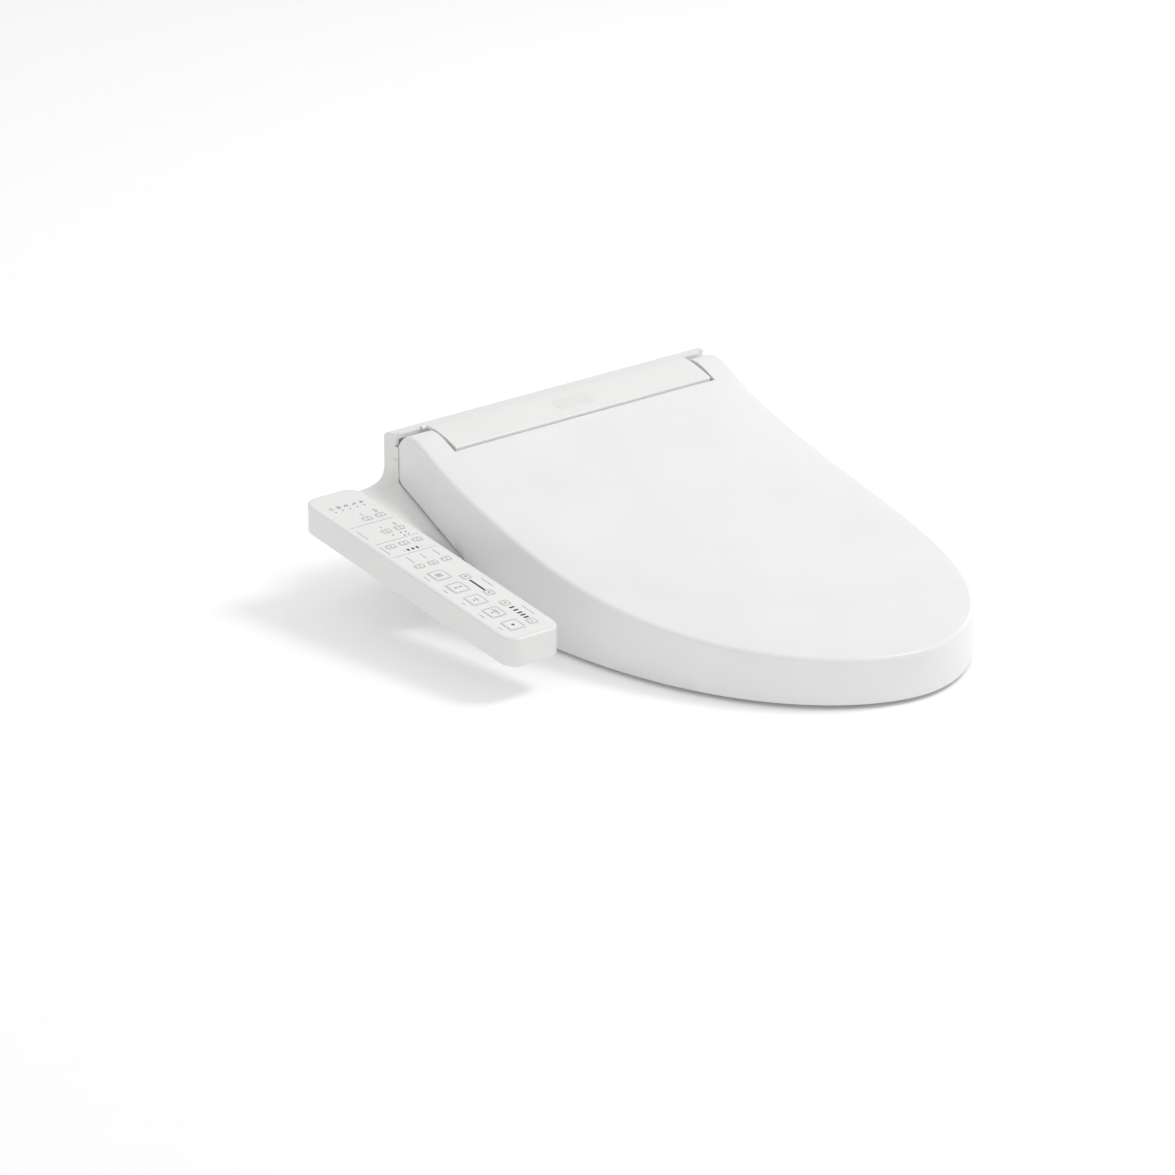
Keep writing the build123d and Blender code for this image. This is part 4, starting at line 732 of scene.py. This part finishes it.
def lid_mesh():
    """The lid's outer skin as one sheet of quads."""
    build = bmesh.new()
    made = {}

    def vertex(x, y, z):
        key = (round(x, 4), round(y, 4), round(z, 4))
        if key not in made:
            made[key] = build.verts.new((x / 1000, y / 1000, z / 1000))
        return made[key]

    rows = []
    edge = HALF - ROLL
    for side in (1, -1):
        side_rows = []
        for top, out, roll, foot in side_stations():
            (y, z), row = top, []
            first = SIDE_COLUMNS.index(CUT) if y > CUT_Y + 1e-6 else 0
            for x in SIDE_COLUMNS[first:]:
                drop = crown(y) * (x / edge) ** CROWN_POWER
                row.append(vertex(side * x, y - out.x * drop, z - out.y * drop))
            drop = crown(y)
            tilt = math.atan(drop * CROWN_POWER / edge)
            start = Vector((y - out.x * drop, z - out.y * drop))
            row.append(vertex(side * (HALF - roll), *start))
            rolled = roll_profile(tilt, roll)
            row.extend(vertex(side * (HALF - inset), *(start - out * fall)) for inset, fall in rolled)
            last = start - out * rolled[-1][1]
            wall = [last.lerp(Vector(foot), k / WALL_STEPS) for k in range(1, WALL_STEPS + 1)]
            row.extend(vertex(side * HALF, *place) for place in wall)
            side_rows.append(row)
        rows.append(side_rows)
    for side, side_rows in zip((1, -1), rows):
        for a, b in zip(side_rows, side_rows[1:]):
            wide, narrow = (b, a) if len(b) > len(a) else (a, b)
            skip = len(wide) - len(narrow)
            if skip:
                wide = wide[skip:]
                a, b = (a, wide) if len(b) > len(a) else (wide, b)
            for i in range(len(a) - 1):
                quad = [a[i], a[i + 1], b[i + 1], b[i]]
                loop = [v for k, v in enumerate(quad) if v not in quad[:k]]
                if len(loop) > 2:
                    build.faces.new(loop if side < 0 else loop[::-1])
    fan = []
    for k in range(FAN + 1):
        t = math.pi * k / FAN
        wall, out = outline_point(t)
        inner = wall - out * ROLL
        hub = Vector((0, STRAIGHT))
        row = []
        for x in SIDE_COLUMNS:
            p = hub + (inner - hub) * (x / edge)
            drop = crown(p.y) * (x / edge) ** CROWN_POWER
            row.append(vertex(p.x, p.y, lid_rise(p.y) - drop))
        base = lid_rise(inner.y) - crown(inner.y)
        tilt = math.atan(crown(inner.y) * CROWN_POWER / edge)
        rolled = roll_profile(tilt, ROLL)
        for inset, fall in rolled:
            p = wall - out * inset
            row.append(vertex(p.x, p.y, base - fall))
        top = base - rolled[-1][1]
        steps = [top + (BOTTOM - top) * k / WALL_STEPS for k in range(1, WALL_STEPS + 1)]
        row.extend(vertex(wall.x, wall.y, z) for z in steps)
        fan.append(row)
    for a, b in zip(fan, fan[1:]):
        for i in range(len(a) - 1):
            quad = [a[i], a[i + 1], b[i + 1], b[i]]
            loop = [v for k, v in enumerate(quad) if v not in quad[:k]]
            if len(loop) > 2:
                build.faces.new(loop[::-1])
    mesh = bpy.data.meshes.new("lid_shell")
    build.normal_update()
    build.to_mesh(mesh)
    build.free()
    return mesh


def settle(piece, sharp_degrees):
    """Bakes a piece's modifiers into its mesh and smooths it up to an angle."""
    bpy.context.view_layer.update()
    done = bpy.data.meshes.new_from_object(piece.evaluated_get(bpy.context.evaluated_depsgraph_get()))
    piece.modifiers.clear()
    piece.data = done
    piece.data.shade_smooth()
    piece.data.set_sharp_from_angle(angle=math.radians(sharp_degrees))


LID_EDGE = 0.0006
lid = bpy.data.objects.new("lid_shell", lid_mesh())
bpy.context.scene.collection.objects.link(lid)
lid.data.materials.append(lid_plastic)
shell = lid.modifiers.new("wall", "SOLIDIFY")
shell.thickness = WALL / 1000
shell.offset = -1.0
shell.use_even_offset = False
soften = lid.modifiers.new("edge", "BEVEL")
soften.width = LID_EDGE
soften.segments = 2
soften.limit_method = "ANGLE"
soften.angle_limit = math.radians(50)
settle(lid, 40)
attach(lid, "lid")


EAR_BELOW_TOP = 1.8
EAR_INSET = 1.6
EAR_RADIUS = 15.0
EAR_FLOOR = 122.0
EAR_REACH = (-22.0, 31.0)
EAR_HALF_THICKNESS = 0.0012
EAR_EDGE = 0.0003
EAR_STAND = 1.9
PIN_BORE = 5.1
PIN_SHIFT = 4.0


def horn_ear(side):
    """The plate that closes a horn's inner side, bored for the hinge pin."""
    share = (CUT / (HALF - ROLL)) ** CROWN_POWER
    outline = [(y, lid_rise(y) - crown(y) * share - EAR_BELOW_TOP) for y in (-22, -14, -4, 6, 14)]
    outline += [polar(a, HORN - EAR_INSET) for a in (90, 80, 70, 60)]
    outline += [(EAR_REACH[1], EAR_FLOOR), polar(-8, EAR_RADIUS)]
    outline += [polar(a, EAR_RADIUS) for a in range(-20, -181, -12)]
    outline += [(PIN_SHIFT, EAR_FLOOR), (EAR_REACH[0], EAR_FLOOR)]
    shape = bpy.data.curves.new("horn_ear", "CURVE")
    shape.dimensions = "2D"
    shape.fill_mode = "BOTH"
    for points in (outline, [polar(a, PIN_BORE) for a in range(0, 360, 12)]):
        line = shape.splines.new("POLY")
        line.points.add(len(points) - 1)
        for point, (y, z) in zip(line.points, points):
            point.co = (y / 1000, z / 1000, 0, 1)
        line.use_cyclic_u = True
    shape.extrude = EAR_HALF_THICKNESS
    shape.bevel_depth = EAR_EDGE
    piece = bpy.data.objects.new("horn_ear", shape)
    mesh = bpy.data.meshes.new_from_object(piece)
    bpy.data.objects.remove(piece)
    ear = bpy.data.objects.new("horn_ear", mesh)
    across = side * (CUT + EAR_STAND) / 1000
    mesh.transform(Matrix(((0, 0, 1, across), (1, 0, 0, 0), (0, 1, 0, 0), (0, 0, 0, 1))))
    return ear


POST_SINK = 0.5
POST_SEAT = 37.2
POST_END = 36.5
POST_PLACES = ((60.0, TIP + 40), (140.0, TIP + 150))


def bumper_post(x, y):
    """A drafted post under the lid with a flared root."""
    top = lid_rise(y) - crown(y) * (abs(x) / (HALF - ROLL)) ** CROWN_POWER - WALL + POST_SINK
    ring = [(6.8, top), (5.6, top - 1.2), (5.1, top - 3.0), (4.8, POST_SEAT)]
    ring += [(4.4, POST_END), (0.0, POST_END)]
    turned = bmesh.new()
    line = [turned.verts.new((x / 1000 + r / 1000, y / 1000, z / 1000)) for r, z in ring]
    edges = [turned.edges.new(pair) for pair in zip(line, line[1:])]
    centre = (x / 1000, y / 1000, 0)
    bmesh.ops.spin(turned, geom=line + edges, cent=centre, axis=(0, 0, 1), angle=2 * math.pi, steps=32)
    bmesh.ops.remove_doubles(turned, verts=turned.verts, dist=1e-6)
    bmesh.ops.recalc_face_normals(turned, faces=turned.faces)
    mesh = bpy.data.meshes.new("bumper_post")
    turned.to_mesh(mesh)
    turned.free()
    return bpy.data.objects.new("bumper_post", mesh)


parts = [horn_ear(side) for side in (-1, 1)]
parts += [bumper_post(side * x, y) for side in (-1, 1) for x, y in POST_PLACES]
for part in parts:
    bpy.context.scene.collection.objects.link(part)
    part.data.materials.clear()
    part.data.materials.append(lid_plastic)
    part.data.shade_smooth()
    part.data.set_sharp_from_angle(angle=math.radians(35))
    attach(part, "lid")
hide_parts("lid")

# ---- stage, light and camera ---------------------------------------------
# A plain white floor, one large soft key from the front right and a pale
# room around it.

FLOOR_HALF = 15.0
FLOOR_GAP = 0.0005
FLOOR_GLOW = 0.14
ROOM_LIGHT = 0.72
floor_mesh = bpy.data.meshes.new("floor")
floor_build = bmesh.new()
bmesh.ops.create_grid(floor_build, x_segments=2, y_segments=2, size=FLOOR_HALF)
floor_build.to_mesh(floor_mesh)
floor_build.free()
floor = bpy.data.objects.new("floor", floor_mesh)
floor.location.z = frame_box[0][2] - FLOOR_GAP
bpy.context.scene.collection.objects.link(floor)
floor_paint = bpy.data.materials.new("white_sweep")
floor_paint.use_nodes = True
floor_paint.node_tree.nodes.clear()
floor_place = add(floor_paint, "ShaderNodeTexCoord").outputs["Object"]
floor_grain = add(floor_paint, "ShaderNodeTexNoise", {"Vector": floor_place, "Scale": 30.0, "Detail": 2.0})
floor_tint = add(floor_paint, "ShaderNodeValToRGB", {"Fac": floor_grain.outputs["Fac"]})
floor_tint.color_ramp.elements[0].color = linear("#FBFBFB")
floor_tint.color_ramp.elements[1].color = linear("#FDFDFD")
floor_matte = add(floor_paint, "ShaderNodeBsdfDiffuse", {"Color": floor_tint.outputs["Color"]})
floor_path = add(floor_paint, "ShaderNodeLightPath")
floor_seen = floor_path.outputs["Is Camera Ray"]
for other in ("Is Glossy Ray", "Is Transmission Ray"):
    pair = {0: floor_seen, 1: floor_path.outputs[other]}
    seen = add(floor_paint, "ShaderNodeMath", pair, operation="MAXIMUM")
    floor_seen = seen.outputs["Value"]
floor_lift = add(floor_paint, "ShaderNodeMath", {0: floor_seen, 1: FLOOR_GLOW}, operation="MULTIPLY")
floor_glow = add(floor_paint, "ShaderNodeEmission", {"Strength": floor_lift.outputs["Value"]})
floor_shader = add(
    floor_paint,
    "ShaderNodeAddShader",
    {0: floor_matte.outputs["BSDF"], 1: floor_glow.outputs["Emission"]},
)
add(floor_paint, "ShaderNodeOutputMaterial", {"Surface": floor_shader.outputs["Shader"]})
floor.data.materials.append(floor_paint)

world = bpy.data.worlds.new("pale_room")
bpy.context.scene.world = world
world.use_nodes = True
world.node_tree.nodes["Background"].inputs["Color"].default_value = (1.0, 1.0, 1.0, 1.0)
world.node_tree.nodes["Background"].inputs["Strength"].default_value = ROOM_LIGHT

target = Vector((0.0, -0.2, 0.08))


def soft_lamp(name, place, size, power):
    """A square soft box aimed at the middle of the seat."""
    lamp = bpy.data.lights.new(name, "AREA")
    lamp.shape = "SQUARE"
    lamp.size = size
    lamp.energy = power
    holder = bpy.data.objects.new(name, lamp)
    holder.location = place
    holder.rotation_euler = (target - Vector(place)).to_track_quat("-Z", "Y").to_euler()
    bpy.context.scene.collection.objects.link(holder)


soft_lamp("key_lamp", (1.2, -1.0, 2.4), 0.9, 22.0)
soft_lamp("rim_lamp", (2.2, 0.2, 0.9), 1.2, 5.0)

CAMERA_PLACE = (-2.82194, -3.38796, 1.69433)
AZIMUTH = math.radians(-39.885)
ELEVATION = math.radians(21.487)
ROLL_ANGLE = math.radians(0.12)
camera_data = bpy.data.cameras.new("camera")
camera_data.sensor_width = 36.0
camera_data.lens = 153.08
camera_data.clip_end = 60.0
camera = bpy.data.objects.new("camera", camera_data)
right = Vector((math.cos(AZIMUTH), math.sin(AZIMUTH), 0))
back = Vector(
    (
        math.sin(AZIMUTH) * math.cos(ELEVATION),
        -math.cos(AZIMUTH) * math.cos(ELEVATION),
        math.sin(ELEVATION),
    )
)
up = back.cross(right)
turned_right = right * math.cos(ROLL_ANGLE) + up * math.sin(ROLL_ANGLE)
turned_up = up * math.cos(ROLL_ANGLE) - right * math.sin(ROLL_ANGLE)
turn = Matrix((turned_right, turned_up, back)).transposed().to_4x4()
camera.matrix_world = Matrix.Translation(CAMERA_PLACE) @ turn
bpy.context.scene.collection.objects.link(camera)
bpy.context.scene.camera = camera
bpy.context.scene.view_settings.view_transform = "Standard"

# ---- final update --------------------------------------------------------
# The view layer is updated once more at the end.

bpy.context.view_layer.update()
